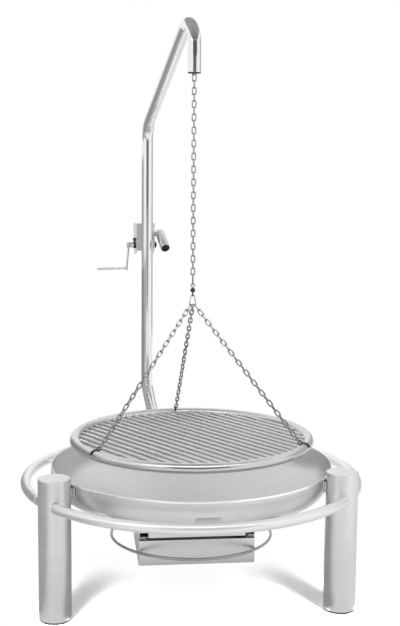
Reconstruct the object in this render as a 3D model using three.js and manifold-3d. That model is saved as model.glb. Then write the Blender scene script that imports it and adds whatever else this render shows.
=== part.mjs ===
// Swing grill on three legs: a dished fire bowl in a tube ring, an ash box under it, and a gallows that
// turns in a socket behind the rear leg. A crank winch on the gallows lifts the round grate by a chain.
// Millimetres, +Z up. The rear leg stands on +Y and the ash box draws out to the front, along -Y.

import * as THREE from "three";
import { mergeVertices } from "three/addons/utils/BufferGeometryUtils.js";
import Module from "manifold-3d";

const wasm = await Module();
wasm.setup();

// Clearances and counts
const SEAT_GAP = 0.3;
const CUT_OVERRUN = 5;
const LEG_SIDES = 20;
const BOWL_SIDES = 48;
const SMALL_SIDES = 12;
const HEX_SIDES = 6;
const THIRDS = 3;

// Fire bowl: a dished end with a short straight flange
const BOWL_RADIUS = 406.5;
const RIM_BELOW_LEG_TOP = 21;
const BOWL_WALL = 3;
const BOWL_FLANGE = 16;
const KNUCKLE_RADIUS = 81;
const CROWN_RADIUS = 813;
const OUTLET_RADIUS = 55;
const KNUCKLE_STEPS = 4;
const CROWN_STEPS = 3;

// Ash sieve over the outlet
const SIEVE_RADIUS = 75;
const SIEVE_THICKNESS = 3;
const SIEVE_SLOT_WIDTH = 8;
const SIEVE_SLOT_PITCH = 18;
const SIEVE_SLOTS = 5;
const SIEVE_MARGIN = 12;

// Legs with welded caps and plastic glides
const LEG_DIAMETER = 88.9;
const LEG_WALL = 2.6;
const LEG_HEIGHT = 394;
const CAP_THICKNESS = 8;
const CAP_EDGE_ROUND = 2.5;
const SPIGOT_DEPTH = 12;
const GLIDE_THICKNESS = 5;
const GLIDE_INSET = 1.5;

// Lugs that stand between the bowl's flange and each leg
const LUG_WIDTH = 54;
const LUG_HEIGHT = 37;
const LUG_THICKNESS = 3;
const LUG_DROP = 2;

// Tube ring outside the bowl, in three lengths that stop at the legs
const RING_BEYOND_BOWL = 72.5;
const RING_BELOW_RIM = 48.5;
const RING_DIAMETER = 28;
const RING_WALL = 2;
const RING_STEPS = 20;
const RING_SIDES = 10;
const RING_BORE_SIDES = 6;

// Shelf plates that join the tube ring to the bowl, midway between the legs
const SHELF_THICKNESS = 4;
const SHELF_RISE = 4;
const SHELF_INNER_WIDTH = 64;
const SHELF_OUTER_WIDTH = 84;
const SHELF_ARC_POINTS = 6;

// Ash hood: a plate welded under the bowl, with a channel rail on each side
const HOOD_WIDTH = 326;
const HOOD_SHEET = 2;
const RAIL_WIDTH = 20;
const RAIL_DEPTH = 15;
const HOOD_SEAT_RADIUS = 157;
const HOOD_LIP_RELIEF = 7;

// Ash box that hangs in the rails by a hooked strip on each side
const ASH_BOX_HEIGHT = 77;
const ASH_BOX_DEPTH = 322;
const ASH_BOX_SHEET = 1.5;
const ASH_BOX_TOP_GAP = 3;
const RUNNER_SHEET = 1.5;
const RUNNER_SKIRT = 22;
const RUNNER_INSET = 5;
const ASH_RING_WIRE = 8;
const ASH_RING_RISE = 40;
const ASH_RING_SEGMENTS = 40;
const ASH_RING_SIDES = 6;

// Socket behind the rear leg, in which the gallows turns
const SOCKET_X = -66;
const SOCKET_BEHIND_LEG = 61.45;
const SOCKET_DIAMETER = 48.3;
const SOCKET_WALL = 2.6;
const SOCKET_BOTTOM = 110;
const SOCKET_LENGTH = 190;
const SOCKET_FLOOR = 6;
const BUSH_WALL = 2;
const BUSH_LENGTH = 30;
const BUSH_FLANGE = 3;
const BRACKET_THICKNESS = 8;
const BRACKET_WIDTH = 40;
const BRACKET_END_DISTANCE = 30;

// Gallows tube: swan neck, mast, leaning arm and a bend that turns the mouth down over the bowl's centre
const GALLOWS_DIAMETER = 38;
const GALLOWS_WALL = 2.6;
const MAST_X = -97;
const MAST_BEHIND_LEG = 58.45;
const SWAN_LOW_CORNER = 353;
const SWAN_HIGH_CORNER = 497;
const SWAN_BEND = 100;
const ARM_CORNER = 1348;
const ARM_BEND = 90;
const TOP_BEND = 68;
const MOUTH_DROP = 72;
const GALLOWS_SIDES = 14;
const GALLOWS_BORE_SIDES = 8;
const SWAN_STEPS = 2;
const ARM_BEND_STEPS = 4;
const TOP_BEND_STEPS = 9;

// Winch on the mast: a folded bracket, a shaft with its drum, a ratchet and a crank
const WINCH_SHAFT_HEIGHT = 963;
const WINCH_SHAFT_BACK = 40;
const WINCH_HALF_WIDTH = 31;
const WINCH_SHEET = 3;
const WEB_HEIGHT = 90;
const WEB_TOP_ABOVE_SHAFT = 72;
const CHEEK_DEPTH = 42;
const CHEEK_TIP_RADIUS = 14;
const CHEEK_TIP_BELOW_SHAFT = 31;
const CHEEK_TIP_STEPS = 6;
const SHAFT_DIAMETER = 12;
const SHAFT_PLAY = 0.35;
const DRUM_RADIUS = 13;
const DRUM_FLANGE_RADIUS = 17;
const DRUM_FLANGE = 3;
const DRUM_SIDE_PLAY = 1.5;
const NUT_ACROSS_FLATS = 19;
const NUT_THICKNESS = 9;
const RATCHET_RADIUS = 11;
const RATCHET_TOOTH = 1.8;
const RATCHET_TEETH = 12;
const RATCHET_THICKNESS = 5;
const PAWL_RISE = 20;
const PAWL_HUB_RADIUS = 4.5;
const PAWL_WIDTH = 6;
const PAWL_TAB = 13;
const PAWL_PIN_DIAMETER = 4;
const CRANK_HUB_RADIUS = 9.5;
const CRANK_HUB_LENGTH = 14;
const CRANK_HUB_CAP = 4;
const CRANK_ARM_LENGTH = 85;
const CRANK_ARM_WIDTH = 16;
const CRANK_ARM_THICKNESS = 4;
const CRANK_LEAN = 20;
const CRANK_HANDLE_DIAMETER = 9;
const CRANK_HANDLE_LENGTH = 98;
const SCREW_HEAD_RADIUS = 6;
const SCREW_HEAD_HEIGHT = 4;
const SCREW_INSET = 12;

// Rope that runs inside the gallows from the drum to the chain
const ROPE_DIAMETER = 4;
const ROPE_SIDES = 5;
const ROPE_ENTRY_RISE = 58;
const ROPE_EXIT_RISE = 16;
const ROPE_BEND = 25;
const ROPE_BEND_STEPS = 3;
const ROPE_SLOT_WIDTH = 10;
const ROPE_SLOT_LENGTH = 55;
const ROPE_SLOT_RISE = 12;
const FERRULE_RADIUS = 4;
const FERRULE_LENGTH = 18;

// Handle for turning the gallows by hand, on the winch's right side
const HANDLE_DIAMETER = 30;
const HANDLE_WALL = 2;
const HANDLE_LENGTH = 88;
const HANDLE_RISE = 41;
const HANDLE_BACK = 26;
const HANDLE_DROP_ANGLE = 32;
const HANDLE_BOSS_RADIUS = 8;
const HANDLE_BOSS_LENGTH = 3;
const PLUG_LENGTH = 14;
const PLUG_RECESS = 2;

// Chain links, swivel and snap hook
const LINK_WIRE = 4;
const LINK_INNER_LENGTH = 17.8;
const LINK_INNER_WIDTH = 6;
const LINK_BITE = 0.3;
const LINK_SIDES = 3;
const LINK_BEND_STEPS = 3;
const LIFT_LINKS = 33;
const TAKEN_UP_LINKS = 23;
const GRATE_CHAIN_LINKS = 26;
const LONG_LINK_INNER_LENGTH = 27;
const LONG_LINK_INNER_WIDTH = 6;
const TOP_LINK_INNER_LENGTH = 20;
const TOP_LINK_INNER_WIDTH = 9;
const EYE_INNER_RADIUS = 3.6;
const EYE_WIRE = 3.2;
const EYE_SIDES = 6;
const EYE_SEGMENTS = 12;
const SWIVEL_BALL_RADIUS = 7;
const SWIVEL_STEM_RADIUS = 2;
const SWIVEL_HEAD_RADIUS = 4;
const SWIVEL_CAVITY_RADIUS = 4.6;
const SWIVEL_STEPS = 6;
const SNAP_HEIGHT = 32;
const SNAP_TOP_HALF = 4.5;
const SNAP_TOP_RADIUS = 4.6;
const SNAP_BOTTOM_HALF = 10;
const SNAP_BOTTOM_RADIUS = 5.5;
const SNAP_BEND_STEPS = 3;
const SNAP_WIRE = 4;
const SNAP_GATE_LENGTH = 15;
const SNAP_GATE_PLAY = 0.9;
const SNAP_SIDES = 6;
const GUIDE_LENGTH = 18;
const GUIDE_BORE_RADIUS = 11;
const GUIDE_FLANGE = 2;
const TOP_LINK_ABOVE_MOUTH = 21;

// Round grate: a tube ring with parallel bars on two supports, and three hooks for the chains
const GRATE_ABOVE_RIM = 69;
const GRATE_RADIUS = 338.5;
const GRATE_TUBE = 28;
const GRATE_TUBE_WALL = 2;
const GRATE_VENT_RADIUS = 2;
const GRATE_SEGMENTS = 40;
const GRATE_SIDES = 10;
const GRATE_BORE_SEGMENTS = 30;
const GRATE_BORE_SIDES = 6;
const GRATE_TURN = 213;
const BAR_DIAMETER = 10;
const BAR_PITCH = 28;
const BAR_SIDES = 6;
const SUPPORT_WIDTH = 6;
const SUPPORT_HEIGHT = 9;
const SUPPORT_OFFSET = 90;
const HOOK_WIRE = 4;
const HOOK_REACH_ANGLE = 15;
const HOOK_START_ANGLE = 131;
const HOOK_STEPS = 6;
const HOOK_SIDES = 5;

// Values worked out from the sizes above
const LEG_RADIUS = LEG_DIAMETER / 2;
const LEG_CIRCLE = BOWL_RADIUS + SEAT_GAP + LUG_THICKNESS + SEAT_GAP + LEG_RADIUS;
const LEG_ANGLES = { rear: 90, front_left: 210, front_right: 330 };
const ARC_ANGLES = { left: 150, front: 270, right: 30 };
const RING_RADIUS = BOWL_RADIUS + RING_BEYOND_BOWL;
const BOWL_RIM_HEIGHT = LEG_HEIGHT - RIM_BELOW_LEG_TOP;
const RING_HEIGHT = BOWL_RIM_HEIGHT - RING_BELOW_RIM;
const GRATE_HEIGHT = BOWL_RIM_HEIGHT + GRATE_ABOVE_RIM;
const SOCKET_Y = LEG_CIRCLE + SOCKET_BEHIND_LEG;
const MAST_Y = LEG_CIRCLE + MAST_BEHIND_LEG;
const MAST_REACH = Math.hypot(MAST_X, MAST_Y);
const MAST_YAW = Math.atan2(-MAST_X, MAST_Y);
const GALLOWS_RADIUS = GALLOWS_DIAMETER / 2;
const HOOD_TOP = bowlHeight(HOOD_SEAT_RADIUS, 0) - SEAT_GAP;
const RAIL_LIP_BOTTOM = HOOD_TOP - HOOD_SHEET - RAIL_DEPTH;
const ASH_BOX_TOP = RAIL_LIP_BOTTOM - ASH_BOX_TOP_GAP;
const ASH_BOX_BOTTOM = ASH_BOX_TOP - ASH_BOX_HEIGHT;
const WINCH_HEIGHT_TOP = WINCH_SHAFT_HEIGHT + WEB_TOP_ABOVE_SHAFT;

const radians = THREE.MathUtils.degToRad;

// Radius of a many-sided cut that clears a round piece at its own flats too.
const clearRadius = (radius, sides) => (radius + SEAT_GAP) / Math.cos(Math.PI / sides);

// Colours and finishes
const material = (color, metalness, roughness) =>
  new THREE.MeshStandardMaterial({ color, metalness, roughness });
const finishes = {
  satinSteel: () => material(0xc4c5c6, 0.95, 0.42),
  brightSteel: () => material(0xd6d8da, 1, 0.2),
  chainSteel: () => material(0xb8babc, 1, 0.28),
  darkSteel: () => material(0x3a3b3d, 0.85, 0.45),
  blackPlastic: () => material(0x161617, 0, 0.55),
  bearingPlastic: () => material(0xe6e4dc, 0, 0.5),
};

function piece(name, geometry, finish) {
  const mesh = new THREE.Mesh(geometry, finishes[finish]());
  mesh.name = name;
  return mesh;
}

// A closed geometry as a solid for joins and cuts.
function toSolid(geometry) {
  const bare = geometry.clone();
  bare.deleteAttribute("normal");
  bare.deleteAttribute("uv");
  const merged = mergeVertices(bare);
  return new wasm.Manifold(
    new wasm.Mesh({
      numProp: 3,
      vertProperties: merged.attributes.position.array,
      triVerts: new Uint32Array(merged.index.array),
    }),
  );
}

function toGeometry(solid) {
  const mesh = solid.getMesh();
  const geometry = new THREE.BufferGeometry();
  geometry.setAttribute("position", new THREE.BufferAttribute(mesh.vertProperties, 3));
  geometry.setIndex(new THREE.BufferAttribute(mesh.triVerts, 1));
  geometry.computeVertexNormals();
  return geometry;
}

function join(...geometries) {
  return toGeometry(geometries.map(toSolid).reduce((whole, next) => whole.add(next)));
}

function cut(geometry, ...tools) {
  return toGeometry(tools.map(toSolid).reduce((whole, tool) => whole.subtract(tool), toSolid(geometry)));
}

// A box from its low corner to its high corner.
function block(lowX, lowY, lowZ, highX, highY, highZ) {
  const geometry = new THREE.BoxGeometry(highX - lowX, highY - lowY, highZ - lowZ);
  return geometry.translate((lowX + highX) / 2, (lowY + highY) / 2, (lowZ + highZ) / 2);
}

// A closed profile of radius and height turned round the Z axis.
function turned(profile, sides) {
  const points = profile.map(([radius, height]) => new THREE.Vector2(radius, height));
  const inOrder = THREE.ShapeUtils.isClockWise(points) ? points.reverse() : points;
  const closed = [...inOrder, inOrder[0].clone()];
  return new THREE.LatheGeometry(closed, sides).rotateX(Math.PI / 2);
}

function disc(radius, low, high, sides = SMALL_SIDES) {
  const geometry = new THREE.CylinderGeometry(radius, radius, high - low, sides);
  return geometry.rotateX(Math.PI / 2).translate(0, 0, (low + high) / 2);
}

function pipe(outerRadius, innerRadius, low, high, sides) {
  const profile = [[innerRadius, low], [outerRadius, low], [outerRadius, high], [innerRadius, high]];
  return turned(profile, sides);
}

// A round bar along the X axis.
function barAlongX(radius, low, high, sides = SMALL_SIDES) {
  return disc(radius, low, high, sides).rotateY(Math.PI / 2);
}

function polygon(radius, sides) {
  return Array.from({ length: sides }, (_, step) => {
    const angle = (2 * Math.PI * (step + 1 / 2)) / sides;
    return new THREE.Vector2(radius * Math.cos(angle), radius * Math.sin(angle));
  });
}

// A wire or tube carried along a path. A bore makes it a tube that is open at both ends.
function carried(path, radius, sides, boreRadius = 0, boreSides = sides) {
  const section = new THREE.Shape(polygon(radius, sides));
  if (boreRadius > 0) section.holes.push(new THREE.Path(polygon(boreRadius, boreSides)));
  return new THREE.ExtrudeGeometry(section, { steps: path.stations.length - 1, extrudePath: path });
}

// A polyline with round corners. Its stations lie at the ends of each straight run and evenly round each
// corner, so that a straight run needs only one step.
class BentPath extends THREE.Curve {
  constructor(corners, radii, bendSteps) {
    super();
    this.stations = [corners[0].clone()];
    this.directions = [corners[1].clone().sub(corners[0]).normalize()];
    for (let k = 1; k < corners.length - 1; k += 1) {
      this.addBend(corners[k - 1], corners[k], corners[k + 1], radii[k - 1], bendSteps[k - 1]);
    }
    this.stations.push(corners.at(-1).clone());
    this.directions.push(corners.at(-1).clone().sub(corners.at(-2)).normalize());
  }

  addBend(before, corner, after, radius, steps) {
    const into = corner.clone().sub(before).normalize();
    const out = after.clone().sub(corner).normalize();
    const turn = into.angleTo(out);
    const start = corner.clone().addScaledVector(into, -radius * Math.tan(turn / 2));
    const axis = into.clone().cross(out).normalize();
    const toCentre = axis.clone().cross(into);
    const centre = start.clone().addScaledVector(toCentre, radius);
    for (let k = 0; k <= steps; k += 1) {
      const angle = (turn * k) / steps;
      const spoke = toCentre.clone().multiplyScalar(-radius).applyAxisAngle(axis, angle);
      this.stations.push(centre.clone().add(spoke));
      this.directions.push(into.clone().applyAxisAngle(axis, angle));
    }
  }

  getPointAt(share, target = new THREE.Vector3()) {
    return target.copy(this.stations[Math.round(share * (this.stations.length - 1))]);
  }

  getTangentAt(share, target = new THREE.Vector3()) {
    return target.copy(this.directions[Math.round(share * (this.directions.length - 1))]);
  }
}

// A level arc round the Z axis.
class LevelArc extends THREE.Curve {
  constructor(radius, height, startAngle, endAngle, steps) {
    super();
    this.radius = radius;
    this.height = height;
    this.startAngle = startAngle;
    this.endAngle = endAngle;
    this.stations = Array.from({ length: steps + 1 });
  }

  angleAt(share) {
    return this.startAngle + (this.endAngle - this.startAngle) * share;
  }

  getPointAt(share, target = new THREE.Vector3()) {
    const angle = this.angleAt(share);
    return target.set(this.radius * Math.cos(angle), this.radius * Math.sin(angle), this.height);
  }

  getTangentAt(share, target = new THREE.Vector3()) {
    const angle = this.angleAt(share);
    return target.set(-Math.sin(angle), Math.cos(angle), 0);
  }
}

// Chain link: a closed wire in the XZ plane, long along Z. The flat at the middle of each end lies at the
// inner length.
function link(innerLength, innerWidth, wire = LINK_WIRE) {
  const bend = (innerWidth + wire) / 2;
  const half = (innerLength - innerWidth * Math.cos(Math.PI / 2 / LINK_BEND_STEPS)) / 2;
  const outline = [];
  for (const side of [1, -1]) {
    for (let k = 0; k <= LINK_BEND_STEPS; k += 1) {
      const angle = (Math.PI * k) / LINK_BEND_STEPS + (side < 0 ? Math.PI : 0);
      const outX = Math.cos(angle);
      const outZ = Math.sin(angle);
      outline.push([bend * outX, side * half + bend * outZ, outX, outZ]);
    }
  }
  return closedWire(outline, wire / 2, LINK_SIDES);
}

// A wire that closes on itself in the XZ plane, with a corner of its section on the inner side. Each row of
// the outline gives x, z and the outward direction.
function closedWire(outline, radius, sides) {
  const positions = [];
  for (const [x, z, outX, outZ] of outline) {
    for (let k = 0; k < sides; k += 1) {
      const angle = Math.PI + (2 * Math.PI * k) / sides;
      const out = radius * Math.cos(angle);
      positions.push(x + out * outX, radius * Math.sin(angle), z + out * outZ);
    }
  }
  const indices = [];
  for (let i = 0; i < outline.length; i += 1) {
    const here = i * sides;
    const there = ((i + 1) % outline.length) * sides;
    for (let k = 0; k < sides; k += 1) {
      const next = (k + 1) % sides;
      indices.push(here + k, there + next, there + k, here + k, here + next, there + next);
    }
  }
  const geometry = new THREE.BufferGeometry();
  geometry.setAttribute("position", new THREE.Float32BufferAttribute(positions, 3));
  geometry.setIndex(indices);
  return geometry.toNonIndexed();
}

// Radius and height along the bowl's wall from the outlet to the rim, set in by a depth.
function bowlWall(inset) {
  const knuckleHeight = BOWL_RIM_HEIGHT - BOWL_FLANGE;
  const knuckleCentre = BOWL_RADIUS - KNUCKLE_RADIUS;
  const crownAngle = Math.asin(knuckleCentre / (CROWN_RADIUS - KNUCKLE_RADIUS));
  const crownCentre = knuckleHeight + (CROWN_RADIUS - KNUCKLE_RADIUS) * Math.cos(crownAngle);
  const crown = CROWN_RADIUS - inset;
  const knuckle = KNUCKLE_RADIUS - inset;
  const startAngle = Math.asin(OUTLET_RADIUS / crown);
  const wall = [];
  for (let k = 0; k <= CROWN_STEPS; k += 1) {
    const angle = startAngle + ((crownAngle - startAngle) * k) / CROWN_STEPS;
    wall.push([crown * Math.sin(angle), crownCentre - crown * Math.cos(angle)]);
  }
  for (let k = 1; k <= KNUCKLE_STEPS; k += 1) {
    const angle = crownAngle + ((Math.PI / 2 - crownAngle) * k) / KNUCKLE_STEPS;
    wall.push([knuckleCentre + knuckle * Math.sin(angle), knuckleHeight - knuckle * Math.cos(angle)]);
  }
  wall.push([knuckleCentre + knuckle, BOWL_RIM_HEIGHT]);
  return wall;
}

// Height of the bowl's faceted wall at a radius, on the surface set in by a depth.
function bowlHeight(radius, inset) {
  const wall = bowlWall(inset);
  const next = wall.findIndex(([reach]) => reach >= radius);
  const [[innerRadius, low], [outerRadius, high]] = [wall[next - 1], wall[next]];
  return low + ((high - low) * (radius - innerRadius)) / (outerRadius - innerRadius);
}

function fireBowl() {
  const profile = [...bowlWall(0), ...bowlWall(BOWL_WALL).reverse()];
  return piece("fire_bowl", turned(profile, BOWL_SIDES), "satinSteel");
}

function ashSieve() {
  const low = bowlHeight(SIEVE_RADIUS / Math.cos(Math.PI / BOWL_SIDES), BOWL_WALL) + SEAT_GAP;
  const high = low + SIEVE_THICKNESS;
  const slots = [];
  for (let k = 0; k < SIEVE_SLOTS; k += 1) {
    const y = (k - (SIEVE_SLOTS - 1) / 2) * SIEVE_SLOT_PITCH;
    const half = Math.sqrt((SIEVE_RADIUS - SIEVE_MARGIN) ** 2 - y ** 2);
    const reach = SIEVE_SLOT_WIDTH / 2;
    slots.push(block(-half, y - reach, low - CUT_OVERRUN, half, y + reach, high + CUT_OVERRUN));
  }
  return piece("ash_sieve", cut(disc(SIEVE_RADIUS, low, high, LEG_SIDES), ...slots), "darkSteel");
}

// Puts a piece that was made on the +X axis at its place round the bowl's axis.
function placed(mesh, angle) {
  mesh.rotation.z = radians(angle);
  return mesh;
}

function leg(place) {
  const bore = LEG_RADIUS - LEG_WALL;
  const spigot = bore - SEAT_GAP;
  const tubeLow = GLIDE_THICKNESS + SEAT_GAP;
  const tubeHigh = LEG_HEIGHT - CAP_THICKNESS - SEAT_GAP;
  const shoulder = LEG_HEIGHT - CAP_THICKNESS;
  const edge = CAP_EDGE_ROUND * (1 - Math.SQRT1_2);
  const cap = [
    [0, shoulder - SPIGOT_DEPTH], [spigot, shoulder - SPIGOT_DEPTH], [spigot, shoulder],
    [LEG_RADIUS, shoulder], [LEG_RADIUS, LEG_HEIGHT - CAP_EDGE_ROUND], [LEG_RADIUS - edge, LEG_HEIGHT - edge],
    [LEG_RADIUS - CAP_EDGE_ROUND, LEG_HEIGHT], [0, LEG_HEIGHT],
  ];
  const foot = LEG_RADIUS - GLIDE_INSET;
  const glide = [
    [0, 0], [foot, 0], [foot, GLIDE_THICKNESS], [spigot, GLIDE_THICKNESS],
    [spigot, GLIDE_THICKNESS + SPIGOT_DEPTH], [0, GLIDE_THICKNESS + SPIGOT_DEPTH],
  ];
  const meshes = [
    piece(`leg_${place}`, pipe(LEG_RADIUS, bore, tubeLow, tubeHigh, LEG_SIDES), "satinSteel"),
    piece(`leg_cap_${place}`, turned(cap, LEG_SIDES), "satinSteel"),
    piece(`foot_glide_${place}`, turned(glide, LEG_SIDES), "blackPlastic"),
  ];
  const group = new THREE.Group();
  for (const mesh of meshes) mesh.position.x = LEG_CIRCLE;
  group.add(...meshes, bowlLug(place));
  group.rotation.z = radians(LEG_ANGLES[place]);
  return group;
}

function bowlLug(place) {
  const inner = BOWL_RADIUS + SEAT_GAP;
  const top = BOWL_RIM_HEIGHT - LUG_DROP;
  const plate = block(inner, -LUG_WIDTH / 2, top - LUG_HEIGHT, inner + LUG_THICKNESS, LUG_WIDTH / 2, top);
  return piece(`bowl_lug_${place}`, plate, "satinSteel");
}

// One third of the ring, whose inner side stops just short of the leg at each end.
function ringTube(place) {
  const middle = radians(ARC_ANGLES[place]);
  const radius = RING_DIAMETER / 2;
  const inner = RING_RADIUS - radius;
  const toLeg = LEG_RADIUS + SEAT_GAP;
  const stop = Math.acos((inner ** 2 + LEG_CIRCLE ** 2 - toLeg ** 2) / (2 * inner * LEG_CIRCLE));
  const reach = Math.PI / THIRDS - stop;
  const path = new LevelArc(RING_RADIUS, RING_HEIGHT, middle - reach, middle + reach, RING_STEPS);
  const arc = carried(path, radius, RING_SIDES, radius - RING_WALL, RING_BORE_SIDES);
  return piece(`ring_tube_${place}`, arc, "satinSteel");
}

function shelfPlate(place) {
  const low = RING_HEIGHT + SHELF_RISE - SHELF_THICKNESS;
  const nearRing = Math.max(0, SHELF_RISE - SHELF_THICKNESS, -SHELF_RISE);
  const chord = Math.cos(Math.PI / THIRDS / RING_STEPS);
  const outer = (RING_RADIUS - Math.sqrt((RING_DIAMETER / 2) ** 2 - nearRing ** 2)) * chord - SEAT_GAP;
  const drop = BOWL_RIM_HEIGHT - BOWL_FLANGE - (low + SHELF_THICKNESS);
  const inner = BOWL_RADIUS - KNUCKLE_RADIUS + Math.sqrt(KNUCKLE_RADIUS ** 2 - drop ** 2) + SEAT_GAP;
  const arc = (radius, width, share) => {
    const angle = Math.asin(width / 2 / radius) * (2 * share - 1);
    return new THREE.Vector2(radius * Math.cos(angle), radius * Math.sin(angle));
  };
  const shares = Array.from({ length: SHELF_ARC_POINTS }, (_, k) => k / (SHELF_ARC_POINTS - 1));
  const roomyInner = inner / Math.cos(Math.PI / BOWL_SIDES);
  const outline = [
    ...shares.map((share) => arc(outer, SHELF_OUTER_WIDTH, share)),
    ...shares.toReversed().map((share) => arc(roomyInner, SHELF_INNER_WIDTH, share)),
  ];
  const settings = { depth: SHELF_THICKNESS, bevelEnabled: false };
  const plate = new THREE.ExtrudeGeometry(new THREE.Shape(outline), settings).translate(0, 0, low);
  return placed(piece(`bowl_shelf_${place}`, plate, "satinSteel"), ARC_ANGLES[place]);
}

function ashHood() {
  const half = HOOD_WIDTH / 2;
  const under = HOOD_TOP - HOOD_SHEET;
  const plate = cut(
    block(-half, -half, under, half, half, HOOD_TOP),
    disc(HOOD_SEAT_RADIUS, under - CUT_OVERRUN, HOOD_TOP + CUT_OVERRUN, BOWL_SIDES),
  );
  const parts = [plate];
  for (const side of [-1, 1]) {
    const [webLow, webHigh] = [side * half, side * (half - HOOD_SHEET)].sort((a, b) => a - b);
    const [lipLow, lipHigh] = [side * half, side * (half - RAIL_WIDTH)].sort((a, b) => a - b);
    parts.push(block(webLow, -half, RAIL_LIP_BOTTOM, webHigh, half, under + HOOD_SHEET / 2));
    parts.push(block(lipLow, -half, RAIL_LIP_BOTTOM, lipHigh, half, RAIL_LIP_BOTTOM + HOOD_SHEET));
    const lipHalf = half - RAIL_WIDTH - HOOD_LIP_RELIEF;
    const [crossLow, crossHigh] = [side * half, side * (half - HOOD_SHEET)].sort((a, b) => a - b);
    parts.push(block(-lipHalf, crossLow, RAIL_LIP_BOTTOM, lipHalf, crossHigh, under + HOOD_SHEET / 2));
  }
  return piece("ash_hood", join(...parts), "satinSteel");
}

// Ash box with a hooked strip along each side, which hangs on the lip of the hood's rail.
function ashBox() {
  const half = HOOD_WIDTH / 2;
  const depth = ASH_BOX_DEPTH / 2;
  const shell = cut(
    block(-half, -depth, ASH_BOX_BOTTOM, half, depth, ASH_BOX_TOP),
    block(
      -half + ASH_BOX_SHEET, -depth + ASH_BOX_SHEET, ASH_BOX_BOTTOM + ASH_BOX_SHEET,
      half - ASH_BOX_SHEET, depth - ASH_BOX_SHEET, ASH_BOX_TOP + CUT_OVERRUN,
    ),
  );
  return piece("ash_box", join(shell, ashBoxRunner(-1), ashBoxRunner(1)), "satinSteel");
}

function ashBoxRunner(side) {
  const outer = HOOD_WIDTH / 2 - ASH_BOX_SHEET / 2;
  const inner = HOOD_WIDTH / 2 - RAIL_WIDTH - RUNNER_INSET;
  const hookTip = HOOD_WIDTH / 2 - HOOD_SHEET - RUNNER_INSET;
  const lipTop = RAIL_LIP_BOTTOM + HOOD_SHEET + SEAT_GAP;
  const sheet = RUNNER_SHEET;
  const top = ASH_BOX_TOP - sheet / 2;
  const outline = [
    [outer, ASH_BOX_TOP - RUNNER_SKIRT], [outer, top], [inner + sheet, top],
    [inner + sheet, lipTop], [hookTip, lipTop], [hookTip, lipTop + sheet], [inner, lipTop + sheet],
    [inner, ASH_BOX_TOP - 2 * sheet], [outer - 2 * sheet, ASH_BOX_TOP - 2 * sheet],
    [outer - 2 * sheet, ASH_BOX_TOP - RUNNER_SKIRT],
  ].map(([x, z]) => new THREE.Vector2(side * x, z));
  const length = ASH_BOX_DEPTH - ASH_BOX_SHEET;
  const strip = new THREE.ExtrudeGeometry(new THREE.Shape(outline), { depth: length, bevelEnabled: false });
  return strip.rotateX(Math.PI / 2).translate(0, length / 2, 0);
}

function ashRing() {
  const wire = ASH_RING_WIRE / 2;
  const corner = Math.hypot(HOOD_WIDTH / 2, ASH_BOX_DEPTH / 2);
  const radius = (corner + SEAT_GAP + wire) / Math.cos(Math.PI / ASH_RING_SEGMENTS);
  const ring = new THREE.TorusGeometry(radius, wire, ASH_RING_SIDES, ASH_RING_SEGMENTS);
  return piece("ash_ring", ring.translate(0, 0, ASH_BOX_BOTTOM + ASH_RING_RISE), "brightSteel");
}

// Socket pieces, made round the socket's own axis. The floor is welded into the tube.
function gallowsSocket() {
  const outer = SOCKET_DIAMETER / 2;
  const bore = outer - SOCKET_WALL;
  const top = SOCKET_BOTTOM + SOCKET_LENGTH;
  const floorTop = SOCKET_BOTTOM + SOCKET_FLOOR;
  const tube = [
    [0, SOCKET_BOTTOM], [outer, SOCKET_BOTTOM], [outer, top], [bore, top], [bore, floorTop], [0, floorTop],
  ];
  const bushOuter = bore - SEAT_GAP;
  const bushInner = bushOuter - BUSH_WALL;
  const flangeLow = top + SEAT_GAP;
  const upper = [
    [bushInner, top - BUSH_LENGTH], [bushOuter, top - BUSH_LENGTH], [bushOuter, flangeLow],
    [outer, flangeLow], [outer, flangeLow + BUSH_FLANGE], [bushInner, flangeLow + BUSH_FLANGE],
  ];
  const lowerStart = floorTop + SEAT_GAP;
  const group = new THREE.Group();
  group.position.set(SOCKET_X, SOCKET_Y, 0);
  group.add(
    piece("gallows_socket", turned(tube, LEG_SIDES), "satinSteel"),
    piece("socket_bush_upper", turned(upper, LEG_SIDES), "bearingPlastic"),
    piece(
      "socket_bush_lower",
      pipe(bushOuter, bushInner, lowerStart, lowerStart + BUSH_LENGTH, LEG_SIDES),
      "bearingPlastic",
    ),
  );
  return group;
}

// Flat plate that holds the socket to the rear leg.
function socketBracket(name, height) {
  const along = Math.atan2(SOCKET_Y - LEG_CIRCLE, SOCKET_X);
  const span = Math.hypot(SOCKET_X, SOCKET_Y - LEG_CIRCLE);
  const half = BRACKET_WIDTH / 2;
  const low = height - BRACKET_THICKNESS / 2;
  const high = height + BRACKET_THICKNESS / 2;
  const plate = cut(
    block(0, -half, low, span, half, high),
    disc(clearRadius(LEG_RADIUS, LEG_SIDES), low - CUT_OVERRUN, high + CUT_OVERRUN, LEG_SIDES),
    disc(clearRadius(SOCKET_DIAMETER / 2, LEG_SIDES), low - CUT_OVERRUN, high + CUT_OVERRUN, LEG_SIDES)
      .translate(span, 0, 0),
  );
  const mesh = piece(name, plate, "satinSteel");
  mesh.position.set(0, LEG_CIRCLE, 0);
  mesh.rotation.z = along;
  return mesh;
}

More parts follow.
